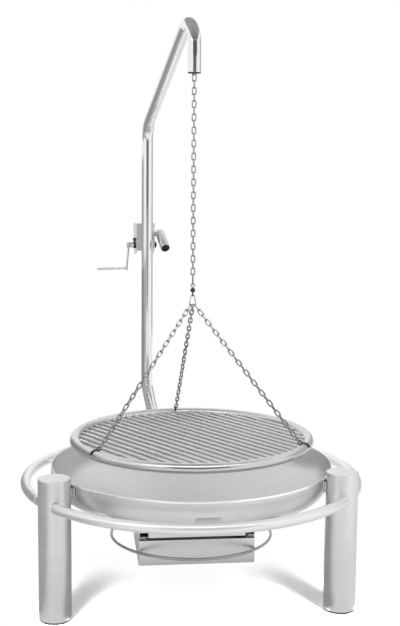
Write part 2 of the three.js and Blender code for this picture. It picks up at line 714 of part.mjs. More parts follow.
// Corners of the gallows tube's centre line, from the socket's floor to the mouth over the bowl's centre.
function gallowsCorners(mouthHeight) {
  const rise = MAST_REACH / Math.tan(armLean(mouthHeight));
  return [
    new THREE.Vector3(SOCKET_X, SOCKET_Y, SOCKET_BOTTOM + SOCKET_FLOOR + SEAT_GAP),
    new THREE.Vector3(SOCKET_X, SOCKET_Y, SWAN_LOW_CORNER),
    new THREE.Vector3(MAST_X, MAST_Y, SWAN_HIGH_CORNER),
    new THREE.Vector3(MAST_X, MAST_Y, ARM_CORNER),
    new THREE.Vector3(0, 0, ARM_CORNER + rise),
    new THREE.Vector3(0, 0, mouthHeight),
  ];
}

// The arm's angle from upright, for which the top bend starts at the set height above the mouth.
function armLean(mouthHeight) {
  const bendRise = mouthHeight + MOUTH_DROP - ARM_CORNER;
  const reach = MAST_REACH - TOP_BEND;
  return Math.acos(TOP_BEND / Math.hypot(reach, bendRise)) - Math.atan2(bendRise, reach);
}

function gallowsTube(mouthHeight) {
  const radii = [SWAN_BEND, SWAN_BEND, ARM_BEND, TOP_BEND];
  const steps = [SWAN_STEPS, SWAN_STEPS, ARM_BEND_STEPS, TOP_BEND_STEPS];
  const path = new BentPath(gallowsCorners(mouthHeight), radii, steps);
  const bore = GALLOWS_RADIUS - GALLOWS_WALL;
  const tube = carried(path, GALLOWS_RADIUS, GALLOWS_SIDES, bore, GALLOWS_BORE_SIDES);
  const slotLow = WINCH_SHAFT_HEIGHT + ROPE_SLOT_RISE;
  const slot = block(
    -ROPE_SLOT_WIDTH / 2, GALLOWS_RADIUS / 2, slotLow,
    ROPE_SLOT_WIDTH / 2, GALLOWS_RADIUS + CUT_OVERRUN, slotLow + ROPE_SLOT_LENGTH,
  );
  slot.rotateZ(MAST_YAW).translate(MAST_X, MAST_Y, 0);
  return piece("gallows_tube", cut(tube, slot), "brightSteel");
}

// Winch pieces, made round the mast's axis with the grate's centre towards -Y.
function winchBracket() {
  const front = GALLOWS_RADIUS + SEAT_GAP;
  const webBack = front + WINCH_SHEET;
  const outline = new THREE.Shape();
  const back = front + CHEEK_DEPTH;
  const tip = WINCH_SHAFT_HEIGHT - CHEEK_TIP_BELOW_SHAFT;
  outline.moveTo(front, WINCH_HEIGHT_TOP);
  outline.lineTo(front, tip + 2 * CHEEK_TIP_RADIUS);
  outline.lineTo(WINCH_SHAFT_BACK - CHEEK_TIP_RADIUS, tip + CHEEK_TIP_RADIUS);
  outline.absarc(WINCH_SHAFT_BACK, tip + CHEEK_TIP_RADIUS, CHEEK_TIP_RADIUS, Math.PI, 2 * Math.PI, false);
  outline.lineTo(back, tip + 2 * CHEEK_TIP_RADIUS);
  outline.lineTo(back, WINCH_HEIGHT_TOP);
  const settings = { depth: WINCH_SHEET, bevelEnabled: false, curveSegments: CHEEK_TIP_STEPS };
  const cheek = (x) => new THREE.ExtrudeGeometry(outline, settings)
    .rotateX(Math.PI / 2).rotateZ(Math.PI / 2).translate(x, 0, 0);
  const half = WINCH_HALF_WIDTH;
  const web = block(-half, front, WINCH_HEIGHT_TOP - WEB_HEIGHT, half, webBack, WINCH_HEIGHT_TOP);
  const slotLow = WINCH_SHAFT_HEIGHT + ROPE_SLOT_RISE;
  const ropeSlot = block(
    -ROPE_SLOT_WIDTH / 2, front - CUT_OVERRUN, slotLow,
    ROPE_SLOT_WIDTH / 2, webBack + CUT_OVERRUN, slotLow + ROPE_SLOT_LENGTH,
  );
  const shaftHole = barAlongX(SHAFT_DIAMETER / 2 + SHAFT_PLAY, -half - CUT_OVERRUN, half + CUT_OVERRUN)
    .translate(0, WINCH_SHAFT_BACK, WINCH_SHAFT_HEIGHT);
  const body = join(web, cheek(-half), cheek(half - WINCH_SHEET));
  return piece("winch_bracket", cut(body, ropeSlot, shaftHole), "satinSteel");
}

function bracketScrew(name, side) {
  const base = GALLOWS_RADIUS + SEAT_GAP + WINCH_SHEET + SEAT_GAP;
  const across = side * (WINCH_HALF_WIDTH / 2 + WINCH_SHEET);
  const head = disc(SCREW_HEAD_RADIUS, base, base + SCREW_HEAD_HEIGHT, HEX_SIDES).rotateX(-Math.PI / 2);
  return piece(name, head.translate(across, 0, WINCH_HEIGHT_TOP - SCREW_INSET), "brightSteel");
}

function onShaft(name, geometry, finish) {
  const mesh = piece(name, geometry, finish);
  mesh.position.set(0, WINCH_SHAFT_BACK, WINCH_SHAFT_HEIGHT);
  return mesh;
}

// Pieces that turn with the winch shaft, from the drum outwards to the crank.
function winchShaftSet() {
  const shaft = SHAFT_DIAMETER / 2;
  const inside = WINCH_HALF_WIDTH - WINCH_SHEET - DRUM_SIDE_PLAY;
  const drum = [
    [shaft + SEAT_GAP, -inside], [DRUM_FLANGE_RADIUS, -inside], [DRUM_FLANGE_RADIUS, -inside + DRUM_FLANGE],
    [DRUM_RADIUS, -inside + DRUM_FLANGE], [DRUM_RADIUS, inside - DRUM_FLANGE],
    [DRUM_FLANGE_RADIUS, inside - DRUM_FLANGE], [DRUM_FLANGE_RADIUS, inside], [shaft + SEAT_GAP, inside],
  ];
  const wheelRight = -WINCH_HALF_WIDTH - SEAT_GAP;
  const wheelLeft = wheelRight - RATCHET_THICKNESS;
  const hubRight = wheelLeft - SEAT_GAP;
  const armRight = hubRight - CRANK_HUB_LENGTH;
  const armLeft = armRight - CRANK_ARM_THICKNESS;
  const nutLeft = WINCH_HALF_WIDTH + SEAT_GAP;
  const nutRight = nutLeft + NUT_THICKNESS;
  const teeth = [];
  for (let k = 0; k < RATCHET_TEETH; k += 1) {
    const start = (2 * Math.PI * k) / RATCHET_TEETH;
    const end = (2 * Math.PI * (k + 1)) / RATCHET_TEETH;
    const root = RATCHET_RADIUS - RATCHET_TOOTH;
    teeth.push(new THREE.Vector2(root * Math.cos(start), root * Math.sin(start)));
    teeth.push(new THREE.Vector2(RATCHET_RADIUS * Math.cos(end), RATCHET_RADIUS * Math.sin(end)));
  }
  const wheelShape = new THREE.Shape(teeth);
  wheelShape.holes.push(new THREE.Path(polygon(shaft + SEAT_GAP, SMALL_SIDES)));
  const wheel = new THREE.ExtrudeGeometry(wheelShape, { depth: RATCHET_THICKNESS, bevelEnabled: false })
    .rotateY(Math.PI / 2).translate(wheelLeft, 0, 0);
  const armHalf = CRANK_ARM_WIDTH / 2;
  const bore = barAlongX(shaft + SEAT_GAP, armLeft, hubRight + CUT_OVERRUN);
  const arm = cut(
    join(
      barAlongX(CRANK_HUB_RADIUS, armLeft - CRANK_HUB_CAP, hubRight),
      block(armLeft, -armHalf, -CRANK_ARM_LENGTH, armRight, armHalf, 0),
      barAlongX(armHalf, armLeft, armRight).translate(0, 0, -CRANK_ARM_LENGTH),
    ),
    bore,
  ).rotateX(radians(CRANK_LEAN));
  const handleRight = armLeft - SEAT_GAP;
  const handle = barAlongX(CRANK_HANDLE_DIAMETER / 2, handleRight - CRANK_HANDLE_LENGTH, handleRight)
    .translate(0, 0, -CRANK_ARM_LENGTH).rotateX(radians(CRANK_LEAN));
  const nut = cut(
    barAlongX(NUT_ACROSS_FLATS / Math.sqrt(THIRDS), nutLeft, nutRight, HEX_SIDES),
    barAlongX(shaft + SEAT_GAP, nutLeft - CUT_OVERRUN, nutRight + CUT_OVERRUN),
  );
  return [
    onShaft("winch_shaft", barAlongX(shaft, armLeft + SEAT_GAP, nutRight + WINCH_SHEET), "brightSteel"),
    onShaft("winch_drum", turned(drum, SMALL_SIDES).rotateY(Math.PI / 2), "satinSteel"),
    onShaft("ratchet_wheel", wheel, "darkSteel"),
    onShaft("crank_arm", arm, "brightSteel"),
    onShaft("crank_handle", handle, "brightSteel"),
    onShaft("shaft_nut", nut, "darkSteel"),
  ];
}

// Pawl that stands over the ratchet wheel on the left cheek, with a finger tab.
function ratchetPawl() {
  const right = -WINCH_HALF_WIDTH - SEAT_GAP;
  const left = right - RATCHET_THICKNESS;
  const half = PAWL_WIDTH / 2;
  const toWheel = -Math.sqrt((PAWL_RISE - RATCHET_RADIUS - SEAT_GAP) ** 2 - half ** 2);
  const lever = join(
    barAlongX(PAWL_HUB_RADIUS, left, right),
    block(left, -half, toWheel, right, half, 0),
    block(left, 0, -half, right, PAWL_TAB, half),
  );
  const hole = barAlongX(PAWL_PIN_DIAMETER / 2 + SEAT_GAP, left - CUT_OVERRUN, right + CUT_OVERRUN);
  const height = WINCH_SHAFT_HEIGHT + PAWL_RISE;
  const pin = barAlongX(PAWL_PIN_DIAMETER / 2, left - WINCH_SHEET, right);
  const head = barAlongX(PAWL_PIN_DIAMETER, left - WINCH_SHEET, left - SEAT_GAP);
  const meshes = [
    piece("ratchet_pawl", cut(lever, hole), "darkSteel"),
    piece("pawl_pin", join(pin, head), "brightSteel"),
  ];
  for (const mesh of meshes) mesh.position.set(0, WINCH_SHAFT_BACK, height);
  return meshes;
}

// Handle along its own Z axis, with the boss that meets the right cheek, turned to point forwards and down.
function swingHandle() {
  const radius = HANDLE_DIAMETER / 2;
  const bore = radius - HANDLE_WALL;
  const cheek = WINCH_HALF_WIDTH + SEAT_GAP;
  const centre = cheek + HANDLE_BOSS_LENGTH + radius;
  const shell = [
    [0, 0], [radius, 0], [radius, HANDLE_LENGTH], [bore, HANDLE_LENGTH], [bore, radius], [0, radius],
  ];
  const boss = barAlongX(HANDLE_BOSS_RADIUS, cheek - centre, 0).translate(0, 0, HANDLE_BOSS_RADIUS);
  const plugHigh = HANDLE_LENGTH - PLUG_RECESS;
  const plug = disc(bore - SEAT_GAP, plugHigh - PLUG_LENGTH, plugHigh, LEG_SIDES);
  const meshes = [
    piece("swing_handle", join(turned(shell, LEG_SIDES), boss), "brightSteel"),
    piece("swing_handle_plug", plug, "blackPlastic"),
  ];
  for (const mesh of meshes) {
    mesh.position.set(centre, HANDLE_BACK, WINCH_SHAFT_HEIGHT + HANDLE_RISE);
    mesh.rotation.x = Math.PI / 2 + radians(HANDLE_DROP_ANGLE);
  }
  return meshes;
}

// Rope from the drum through the slot, then up inside the gallows to the chain's top link.
function winchRope(mouthHeight, linkTop) {
  const drumTangent = WINCH_SHAFT_BACK - DRUM_RADIUS - SEAT_GAP - ROPE_DIAMETER / 2;
  const local = (y, z) => new THREE.Vector3(0, y, z)
    .applyAxisAngle(new THREE.Vector3(0, 0, 1), MAST_YAW).add(new THREE.Vector3(MAST_X, MAST_Y, 0));
  const [, , , armCorner, topCorner] = gallowsCorners(mouthHeight);
  const end = new THREE.Vector3(0, 0, linkTop + SEAT_GAP + FERRULE_LENGTH / 2);
  const corners = [
    local(drumTangent, WINCH_SHAFT_HEIGHT), local(drumTangent, WINCH_SHAFT_HEIGHT + ROPE_EXIT_RISE),
    local(0, WINCH_SHAFT_HEIGHT + ROPE_ENTRY_RISE), armCorner, topCorner, end,
  ];
  const radii = [ROPE_BEND, ROPE_BEND, ARM_BEND, TOP_BEND];
  const steps = [ROPE_BEND_STEPS, ROPE_BEND_STEPS, ARM_BEND_STEPS, TOP_BEND_STEPS];
  const rope = carried(new BentPath(corners, radii, steps), ROPE_DIAMETER / 2, ROPE_SIDES);
  const ferruleLow = linkTop + SEAT_GAP;
  const ferrule = disc(FERRULE_RADIUS, ferruleLow, ferruleLow + FERRULE_LENGTH, SMALL_SIDES);
  return piece("winch_rope", join(rope, ferrule), "darkSteel");
}

function mouthGuide(mouthHeight) {
  const outer = (GALLOWS_RADIUS - GALLOWS_WALL) * Math.cos(Math.PI / GALLOWS_BORE_SIDES) - SEAT_GAP;
  const low = mouthHeight - SEAT_GAP - GUIDE_FLANGE;
  const ring = join(
    pipe(outer, GUIDE_BORE_RADIUS, low, mouthHeight + GUIDE_LENGTH, SMALL_SIDES),
    pipe(GALLOWS_RADIUS, GUIDE_BORE_RADIUS, low, mouthHeight - SEAT_GAP, SMALL_SIDES),
  );
  return piece("mouth_guide", ring, "blackPlastic");
}

// Distance between the centres of two loops that hang one in the other, with some play between their wires.
const hangStep = (upperInner, lowerInner, play) => (upperInner + lowerInner) / 2 - play;

// Distance between two links of one run, which press into each other.
const RUN_STEP = hangStep(LINK_INNER_LENGTH, LINK_INNER_LENGTH, -LINK_BITE);

// Thickness of a link's wire where it lies across at the link's end.
const LINK_SHARE = (1 + Math.cos(Math.PI / LINK_SIDES)) * Math.cos(Math.PI / 2 / LINK_BEND_STEPS);
const LINK_END = (LINK_WIRE / 2) * LINK_SHARE;

// Eye: a short wire ring in the XZ plane.
function eye(height) {
  return new THREE.TorusGeometry(EYE_INNER_RADIUS + EYE_WIRE / 2, EYE_WIRE / 2, EYE_SIDES, EYE_SEGMENTS)
    .rotateX(Math.PI / 2).translate(0, 0, height);
}

// Heights at which the hanging pieces meet, worked out from the grate upwards. The chain's length from the
// snap hook's foot to the grate's hook sets how high the snap hook hangs.
function hangingHeights() {
  const eyeInner = 2 * EYE_INNER_RADIUS;
  const hookEye = hookEyePlace();
  const firstCentre = TOP_LINK_INNER_LENGTH / 2 - SNAP_WIRE / 2 - SEAT_GAP;
  const secondCentre = firstCentre + hangStep(TOP_LINK_INNER_LENGTH, LINK_INNER_LENGTH, -LINK_BITE);
  const lastCentre = secondCentre + (GRATE_CHAIN_LINKS - 1) * RUN_STEP;
  const chainLength = lastCentre + hangStep(LINK_INNER_LENGTH, eyeInner, SEAT_GAP);
  const snapBottom = hookEye.height + Math.sqrt(chainLength ** 2 - hookEye.radius ** 2);
  const snapTop = snapBottom + SNAP_HEIGHT;
  const lowerEye = snapTop - SNAP_WIRE / 2 - SEAT_GAP + EYE_INNER_RADIUS;
  const ball = lowerEye + EYE_INNER_RADIUS + EYE_WIRE / 2 + SWIVEL_BALL_RADIUS;
  const upperEye = ball + SWIVEL_BALL_RADIUS + EYE_WIRE + EYE_INNER_RADIUS;
  const longLink = upperEye + hangStep(eyeInner, LONG_LINK_INNER_LENGTH, SEAT_GAP);
  const lastLink = longLink + hangStep(LONG_LINK_INNER_LENGTH, LINK_INNER_LENGTH, -LINK_BITE);
  const looseSteps = 2 * (LINK_BITE + SEAT_GAP);
  const topLink = lastLink + (LIFT_LINKS - 1) * RUN_STEP - looseSteps;
  const mouth = topLink - TOP_LINK_ABOVE_MOUTH;
  return {
    hookEye, firstCentre, chainLength, snapBottom, snapTop,
    lowerEye, ball, upperEye, longLink, topLink, mouth,
  };
}

// The hook's eye lies inside the grate's tube, on the side of the chain.
function hookEyePlace() {
  const bend = GRATE_TUBE / 2 + SEAT_GAP + HOOK_WIRE / 2;
  const angle = radians(HOOK_START_ANGLE);
  const out = bend + EYE_INNER_RADIUS + EYE_WIRE / 2;
  return { radius: GRATE_RADIUS + out * Math.cos(angle), height: GRATE_HEIGHT + out * Math.sin(angle), bend };
}

// Links of the lift chain from one count to another, each turned a quarter against the one above.
function liftLinks(topHeight, first, last) {
  const links = [];
  for (let k = first; k <= last; k += 1) {
    const turn = k % 2 === 0 ? 0 : Math.PI / 2;
    const height = topHeight - (k - first) * RUN_STEP;
    links.push(link(LINK_INNER_LENGTH, LINK_INNER_WIDTH).rotateZ(turn).translate(0, 0, height));
  }
  return links;
}

// Lift chain in three runs: the top link, the links that the winch takes up, and those that only rise.
function liftChain(heights) {
  const looseStep = hangStep(LINK_INNER_LENGTH, LINK_INNER_LENGTH, SEAT_GAP);
  const upperTop = heights.topLink - looseStep;
  const lowerTop = upperTop - (TAKEN_UP_LINKS - 1) * RUN_STEP - looseStep;
  const longTurn = LIFT_LINKS % 2 === 0 ? 0 : Math.PI / 2;
  const longLink = link(LONG_LINK_INNER_LENGTH, LONG_LINK_INNER_WIDTH)
    .rotateZ(longTurn).translate(0, 0, heights.longLink);
  const lower = [...liftLinks(lowerTop, TAKEN_UP_LINKS + 1, LIFT_LINKS - 1), longLink];
  return [
    piece("chain_top_link", join(...liftLinks(heights.topLink, 0, 0)), "chainSteel"),
    piece("lift_chain_upper", join(...liftLinks(upperTop, 1, TAKEN_UP_LINKS)), "chainSteel"),
    piece("lift_chain_lower", join(...lower), "chainSteel"),
  ];
}

// Swivel: a stem with an eye turns in a ball with an eye.
function swivel(heights) {
  const stemEyeTurn = LIFT_LINKS % 2 === 0 ? Math.PI / 2 : 0;
  const { ball } = heights;
  const neck = SWIVEL_STEM_RADIUS + SEAT_GAP;
  const room = SWIVEL_CAVITY_RADIUS;
  const shell = [[0, ball - SWIVEL_BALL_RADIUS]];
  for (let k = 1; k <= SWIVEL_STEPS; k += 1) {
    const angle = -Math.PI / 2 + (Math.PI * k) / SWIVEL_STEPS;
    const reach = Math.max(SWIVEL_BALL_RADIUS * Math.cos(angle), neck);
    shell.push([reach, ball + SWIVEL_BALL_RADIUS * Math.sin(angle)]);
  }
  shell.push([neck, ball + room / 2], [room, ball + room / 2], [room, ball - room / 2], [0, ball - room / 2]);
  const body = join(turned(shell, SMALL_SIDES), eye(heights.lowerEye).rotateZ(Math.PI / 2));
  const headHalf = room / 2 - SEAT_GAP;
  const stem = join(
    disc(SWIVEL_HEAD_RADIUS, ball - headHalf, ball + headHalf),
    disc(SWIVEL_STEM_RADIUS, ball, heights.upperEye - EYE_INNER_RADIUS - EYE_WIRE / 2),
    eye(heights.upperEye).rotateZ(stemEyeTurn),
  );
  return { body: piece("swivel_body", body, "darkSteel"), stem: piece("swivel_stem", stem, "chainSteel") };
}

// Pear-shaped snap hook in the XZ plane. Its left side is open where the gate lies.
function snapHook(heights) {
  const { snapBottom, snapTop } = heights;
  const lowLeft = new THREE.Vector3(-SNAP_BOTTOM_HALF, 0, snapBottom);
  const lowRight = new THREE.Vector3(SNAP_BOTTOM_HALF, 0, snapBottom);
  const highRight = new THREE.Vector3(SNAP_TOP_HALF, 0, snapTop);
  const highLeft = new THREE.Vector3(-SNAP_TOP_HALF, 0, snapTop);
  const side = highLeft.clone().sub(lowLeft);
  const along = side.clone().normalize();
  const gateLow = lowLeft.clone().addScaledVector(along, (side.length() - SNAP_GATE_LENGTH) / 2);
  const gateHigh = gateLow.clone().addScaledVector(along, SNAP_GATE_LENGTH);
  const corners = [gateLow, lowLeft, lowRight, highRight, highLeft, gateHigh];
  const radii = [SNAP_BOTTOM_RADIUS, SNAP_BOTTOM_RADIUS, SNAP_TOP_RADIUS, SNAP_TOP_RADIUS];
  const steps = radii.map(() => SNAP_BEND_STEPS);
  const wire = SNAP_WIRE / 2;
  const body = carried(new BentPath(corners, radii, steps), wire, SNAP_SIDES);
  const gateLength = SNAP_GATE_LENGTH - SEAT_GAP - SNAP_GATE_PLAY;
  const gate = piece("snap_gate", disc(wire, 0, gateLength, SNAP_SIDES), "brightSteel");
  gate.position.copy(gateLow).addScaledVector(along, SEAT_GAP);
  gate.quaternion.setFromUnitVectors(new THREE.Vector3(0, 0, 1), along);
  return { body: piece("snap_hook", body, "brightSteel"), gate };
}

// Where a chain that pulls in a direction of the XZ plane sits on the snap hook's foot, and the wire's own
// direction there. A chain that pulls to a side sits in the bend of that side.
function snapSeat(pull, heights) {
  const side = Math.sign(Math.round(THIRDS * pull.x));
  if (side === 0) {
    return { seat: new THREE.Vector3(0, 0, heights.snapBottom), wireAlong: new THREE.Vector3(1, 0, 0) };
  }
  const lean = Math.atan2(SNAP_BOTTOM_HALF - SNAP_TOP_HALF, SNAP_HEIGHT);
  const bendCentre = SNAP_BOTTOM_HALF - SNAP_BOTTOM_RADIUS * Math.tan((Math.PI / 2 + lean) / 2);
  const seat = new THREE.Vector3(side * bendCentre, 0, heights.snapBottom + SNAP_BOTTOM_RADIUS);
  seat.addScaledVector(pull, SNAP_BOTTOM_RADIUS);
  return { seat, wireAlong: new THREE.Vector3(-pull.z, 0, pull.x) };
}

// One slanting chain from the snap hook's foot to its hook on the grate. Its first link stands square to the
// snap hook's wire, its last one square to the hook's eye, and the links between share the twist.
function grateChain(number, heights) {
  const azimuth = radians(GRATE_TURN + (360 / THIRDS) * number);
  const out = new THREE.Vector3(Math.cos(azimuth), Math.sin(azimuth), 0);
  const bottom = out.clone().multiplyScalar(heights.hookEye.radius).setZ(heights.hookEye.height);
  const pull = new THREE.Vector3(bottom.x, 0, bottom.z - heights.snapBottom).normalize();
  const { seat, wireAlong } = snapSeat(pull, heights);
  const down = bottom.clone().sub(seat);
  const stretch = down.length() / heights.chainLength;
  down.normalize();
  const firstWide = wireAlong.clone().cross(down).normalize();
  const square = down.clone().cross(firstWide);
  const tangent = new THREE.Vector3(0, 0, 1).cross(out);
  const links = GRATE_CHAIN_LINKS + 1;
  const quarter = Math.PI / 2;
  const goal = Math.atan2(tangent.dot(square), tangent.dot(firstWide)) - quarter * (links - 1);
  const twist = goal - Math.PI * Math.round(goal / Math.PI);
  const firstStep = hangStep(TOP_LINK_INNER_LENGTH, LINK_INNER_LENGTH, -LINK_BITE);
  const solids = [];
  let place = heights.firstCentre;
  for (let k = 0; k < links; k += 1) {
    if (k === 1) place += firstStep;
    if (k > 1) place += RUN_STEP;
    const angle = quarter * k + (twist * k) / (links - 1);
    const wide = firstWide.clone().applyAxisAngle(down, angle);
    const turn = new THREE.Matrix4().makeBasis(wide, down.clone().cross(wide), down);
    turn.setPosition(seat.clone().addScaledVector(down, place * stretch));
    const innerLength = k === 0 ? TOP_LINK_INNER_LENGTH : LINK_INNER_LENGTH;
    const innerWidth = k === 0 ? TOP_LINK_INNER_WIDTH : LINK_INNER_WIDTH;
    solids.push(link(innerLength, innerWidth).applyMatrix4(turn));
  }
  return piece(`grate_chain_${number + 1}`, join(...solids), "chainSteel");
}

// Arc in the XZ plane round the grate's tube, from the hook's eye over the top to its tip.
class HookArc extends LevelArc {
  getPointAt(share, target = new THREE.Vector3()) {
    const angle = this.angleAt(share);
    const out = this.radius * Math.cos(angle);
    return target.set(GRATE_RADIUS + out, 0, this.height + this.radius * Math.sin(angle));
  }

  getTangentAt(share, target = new THREE.Vector3()) {
    const angle = this.angleAt(share);
    return target.set(Math.sin(angle), 0, -Math.cos(angle));
  }
}

// Wire hook over the grate's tube, with an eye for its chain.
function ringHook(number, heights) {
  const { hookEye } = heights;
  const start = radians(HOOK_START_ANGLE);
  const end = radians(HOOK_REACH_ANGLE);
  const arc = new HookArc(hookEye.bend, GRATE_HEIGHT, start, end, HOOK_STEPS);
  const wire = carried(arc, HOOK_WIRE / 2, HOOK_SIDES);
  const hook = join(wire, eye(hookEye.height).translate(hookEye.radius, 0, 0));
  return placed(piece(`ring_hook_${number + 1}`, hook, "darkSteel"), GRATE_TURN + (360 / THIRDS) * number);
}

function grateRing() {
  const tube = GRATE_TUBE / 2;
  const outer = new THREE.TorusGeometry(GRATE_RADIUS, tube, GRATE_SIDES, GRATE_SEGMENTS);
  const hollow = tube - GRATE_TUBE_WALL;
  const bore = new THREE.TorusGeometry(GRATE_RADIUS, hollow, GRATE_BORE_SIDES, GRATE_BORE_SEGMENTS);
  const vent = disc(GRATE_VENT_RADIUS, -GRATE_TUBE, 0, GRATE_BORE_SIDES).translate(GRATE_RADIUS, 0, 0);
  const ring = cut(outer, bore, vent).translate(0, 0, GRATE_HEIGHT);
  return piece("grate_ring", ring.rotateZ(radians(GRATE_TURN)), "brightSteel");
}

// Parallel bars that lie square to the first hook's direction, on two supports.
function grateBars() {
  const inner = GRATE_RADIUS;
  const bar = BAR_DIAMETER / 2;
  const count = Math.floor((inner - GRATE_TUBE / 2 - bar) / BAR_PITCH);
  const bars = [];
  for (let k = -count; k <= count; k += 1) {
    const x = k * BAR_PITCH;
    const half = Math.sqrt(inner ** 2 - x ** 2);
    bars.push(disc(bar, -half, half, BAR_SIDES).rotateX(Math.PI / 2).translate(x, 0, 0));
  }
  for (const side of [-1, 1]) {
    const y = side * SUPPORT_OFFSET;
    const half = Math.sqrt(inner ** 2 - y ** 2);
    const wide = SUPPORT_WIDTH / 2;
    bars.push(block(-half, y - wide, -bar / 2 - SUPPORT_HEIGHT, half, y + wide, -bar / 2));
  }
  const reach = (inner - GRATE_TUBE / 2) * Math.cos(Math.PI / GRATE_SEGMENTS) - SEAT_GAP;
  const inside = disc(reach, -GRATE_TUBE, GRATE_TUBE, 2 * GRATE_SEGMENTS);
  const grid = toGeometry(toSolid(join(...bars)).intersect(toSolid(inside))).translate(0, 0, GRATE_HEIGHT);
  return piece("grate_bars", grid.rotateZ(radians(GRATE_TURN)), "satinSteel");
}

function buildFrame() {
  const frame = new THREE.Group();
  for (const place of Object.keys(LEG_ANGLES)) frame.add(leg(place));
  for (const place of Object.keys(ARC_ANGLES)) frame.add(ringTube(place), shelfPlate(place));
  const lowBracket = SOCKET_BOTTOM + BRACKET_END_DISTANCE;
  const highBracket = SOCKET_BOTTOM + SOCKET_LENGTH - BRACKET_END_DISTANCE;
  frame.add(fireBowl(), ashSieve(), ashHood(), gallowsSocket());
  frame.add(socketBracket("socket_bracket_lower", lowBracket));
  frame.add(socketBracket("socket_bracket_upper", highBracket));
  return frame;
}

function buildAshBox() {
  const group = new THREE.Group();
  group.add(ashBox(), ashRing());
  return group;
}

function buildGallows(heights) {
  const linkTop = heights.topLink + LINK_INNER_LENGTH / 2 + LINK_END;
  const gallows = new THREE.Group();
  const winch = new THREE.Group();
  winch.position.set(MAST_X, MAST_Y, 0);
  winch.rotation.z = MAST_YAW;
  winch.add(winchBracket(), bracketScrew("bracket_screw_left", -1), bracketScrew("bracket_screw_right", 1));
  winch.add(...winchShaftSet(), ...ratchetPawl(), ...swingHandle());
  gallows.add(gallowsTube(heights.mouth), winchRope(heights.mouth, linkTop), mouthGuide(heights.mouth));
  gallows.add(winch);
  return gallows;
}

function buildHangingGrate(heights) {
  const { body: swivelBody, stem } = swivel(heights);
  const { body: snapBody, gate } = snapHook(heights);
  const hanging = new THREE.Group();
  hanging.add(...liftChain(heights), stem, swivelBody, snapBody, gate);
  for (let k = 0; k < THIRDS; k += 1) hanging.add(grateChain(k, heights), ringHook(k, heights));
  hanging.add(grateRing(), grateBars());
  return hanging;
}

// The whole grill, moved so that its origin is the middle of the floor under its box.
function buildGrill() {
  const heights = hangingHeights();
  const assembly = new THREE.Group();
  assembly.add(buildFrame(), buildAshBox(), buildGallows(heights), buildHangingGrate(heights));
  const box = new THREE.Box3().setFromObject(assembly);
  const middle = box.getCenter(new THREE.Vector3());
  assembly.position.set(-middle.x, -middle.y, -box.min.z);
  const grill = new THREE.Group();
  grill.name = "swing_grill";
  grill.add(assembly);
  grill.updateMatrixWorld(true);
  return grill;
}

export default buildGrill();
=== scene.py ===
"""Looks of the swing grill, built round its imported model.

Shapes are worked out in millimetres in the maker's frame, whose origin is on the floor under the bowl's axis.
`Shell.finish` turns them into metres of the part's frame."""

import math

import bpy
import numpy as np
from mathutils import Matrix, Vector


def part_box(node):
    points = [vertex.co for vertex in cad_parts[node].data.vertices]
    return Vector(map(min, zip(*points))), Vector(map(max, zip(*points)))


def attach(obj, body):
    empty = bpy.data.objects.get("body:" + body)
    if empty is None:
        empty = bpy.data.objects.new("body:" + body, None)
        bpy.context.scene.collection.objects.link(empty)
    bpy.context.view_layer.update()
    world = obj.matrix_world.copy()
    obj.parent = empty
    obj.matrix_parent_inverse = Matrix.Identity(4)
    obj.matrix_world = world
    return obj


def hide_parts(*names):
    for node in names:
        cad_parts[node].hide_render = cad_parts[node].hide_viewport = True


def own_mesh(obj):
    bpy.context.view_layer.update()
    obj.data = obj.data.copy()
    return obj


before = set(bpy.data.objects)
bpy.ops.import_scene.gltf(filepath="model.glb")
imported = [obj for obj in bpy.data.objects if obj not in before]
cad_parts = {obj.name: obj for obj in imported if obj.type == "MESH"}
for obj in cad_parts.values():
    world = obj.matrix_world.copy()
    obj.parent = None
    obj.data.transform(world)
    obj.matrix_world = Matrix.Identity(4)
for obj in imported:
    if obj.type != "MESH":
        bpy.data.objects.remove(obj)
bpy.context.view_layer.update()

MM = 0.001
TURN = 2 * np.pi
BOWL_LOW, BOWL_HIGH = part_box("fire_bowl")
AXIS = np.array([0.0, (BOWL_LOW.y + BOWL_HIGH.y) / 2, 0.0])

# Sizes of the grill in millimetres
GAP = 0.3
BOWL_RADIUS, RIM, BOWL_WALL, BOWL_FLANGE = 406.5, 373.0, 3.0, 16.0
KNUCKLE, CROWN, OUTLET = 81.0, 813.0, 55.0
LEG_RADIUS, LEG_BORE, LEG_TOP, LEG_LOW, LEG_PLUG = 44.45, 41.85, 394.0, 5.3, 12.0
GLIDE_INSET, GLIDE_THICKNESS, SPIGOT, SPIGOT_TOP = 1.5, 5.0, 40.0, 15.0
LUG_WIDTH, LUG_HEIGHT, LUG_MIDDLE, LUG_SHEET = 54.0, 37.0, 352.5, 3.0
LEG_CIRCLE = 454.55
LEG_ANGLES = {"rear": 90, "front_left": 210, "front_right": 330}
ARC_ANGLES = {"left": 150, "front": 270, "right": 30}
RING_RADIUS, RING_HEIGHT, RING_TUBE = 479.0, 324.5, 14.0
SHELF_LOW, SHELF_HIGH, SHELF_OUTER, SHELF_INNER, SHELF_FIT = 324.5, 328.5, 42.0, 32.0, 0.2
HOOD_HALF, BOX_TOP, BOX_BOTTOM, BOX_DEPTH, LIP_BOTTOM = 163.0, 194.88, 117.88, 161.0, 197.88
BOX_SHEET, ASH_WIRE, ASH_RING_RISE = 1.5, 4.0, 40.0
SOCKET_AT = np.array([-66.0, 516.0, 0.0])
MAST_AT = np.array([-97.0, 513.0, 0.0])
MAST_YAW = math.atan2(-MAST_AT[0], MAST_AT[1])
MAST_REACH = math.hypot(MAST_AT[0], MAST_AT[1])
GALLOWS_RADIUS, GALLOWS_WALL, GALLOWS_FOOT = 19.0, 2.6, 116.3
SOCKET_END, FOOT_BEND_TOP = 353.0, 497.0
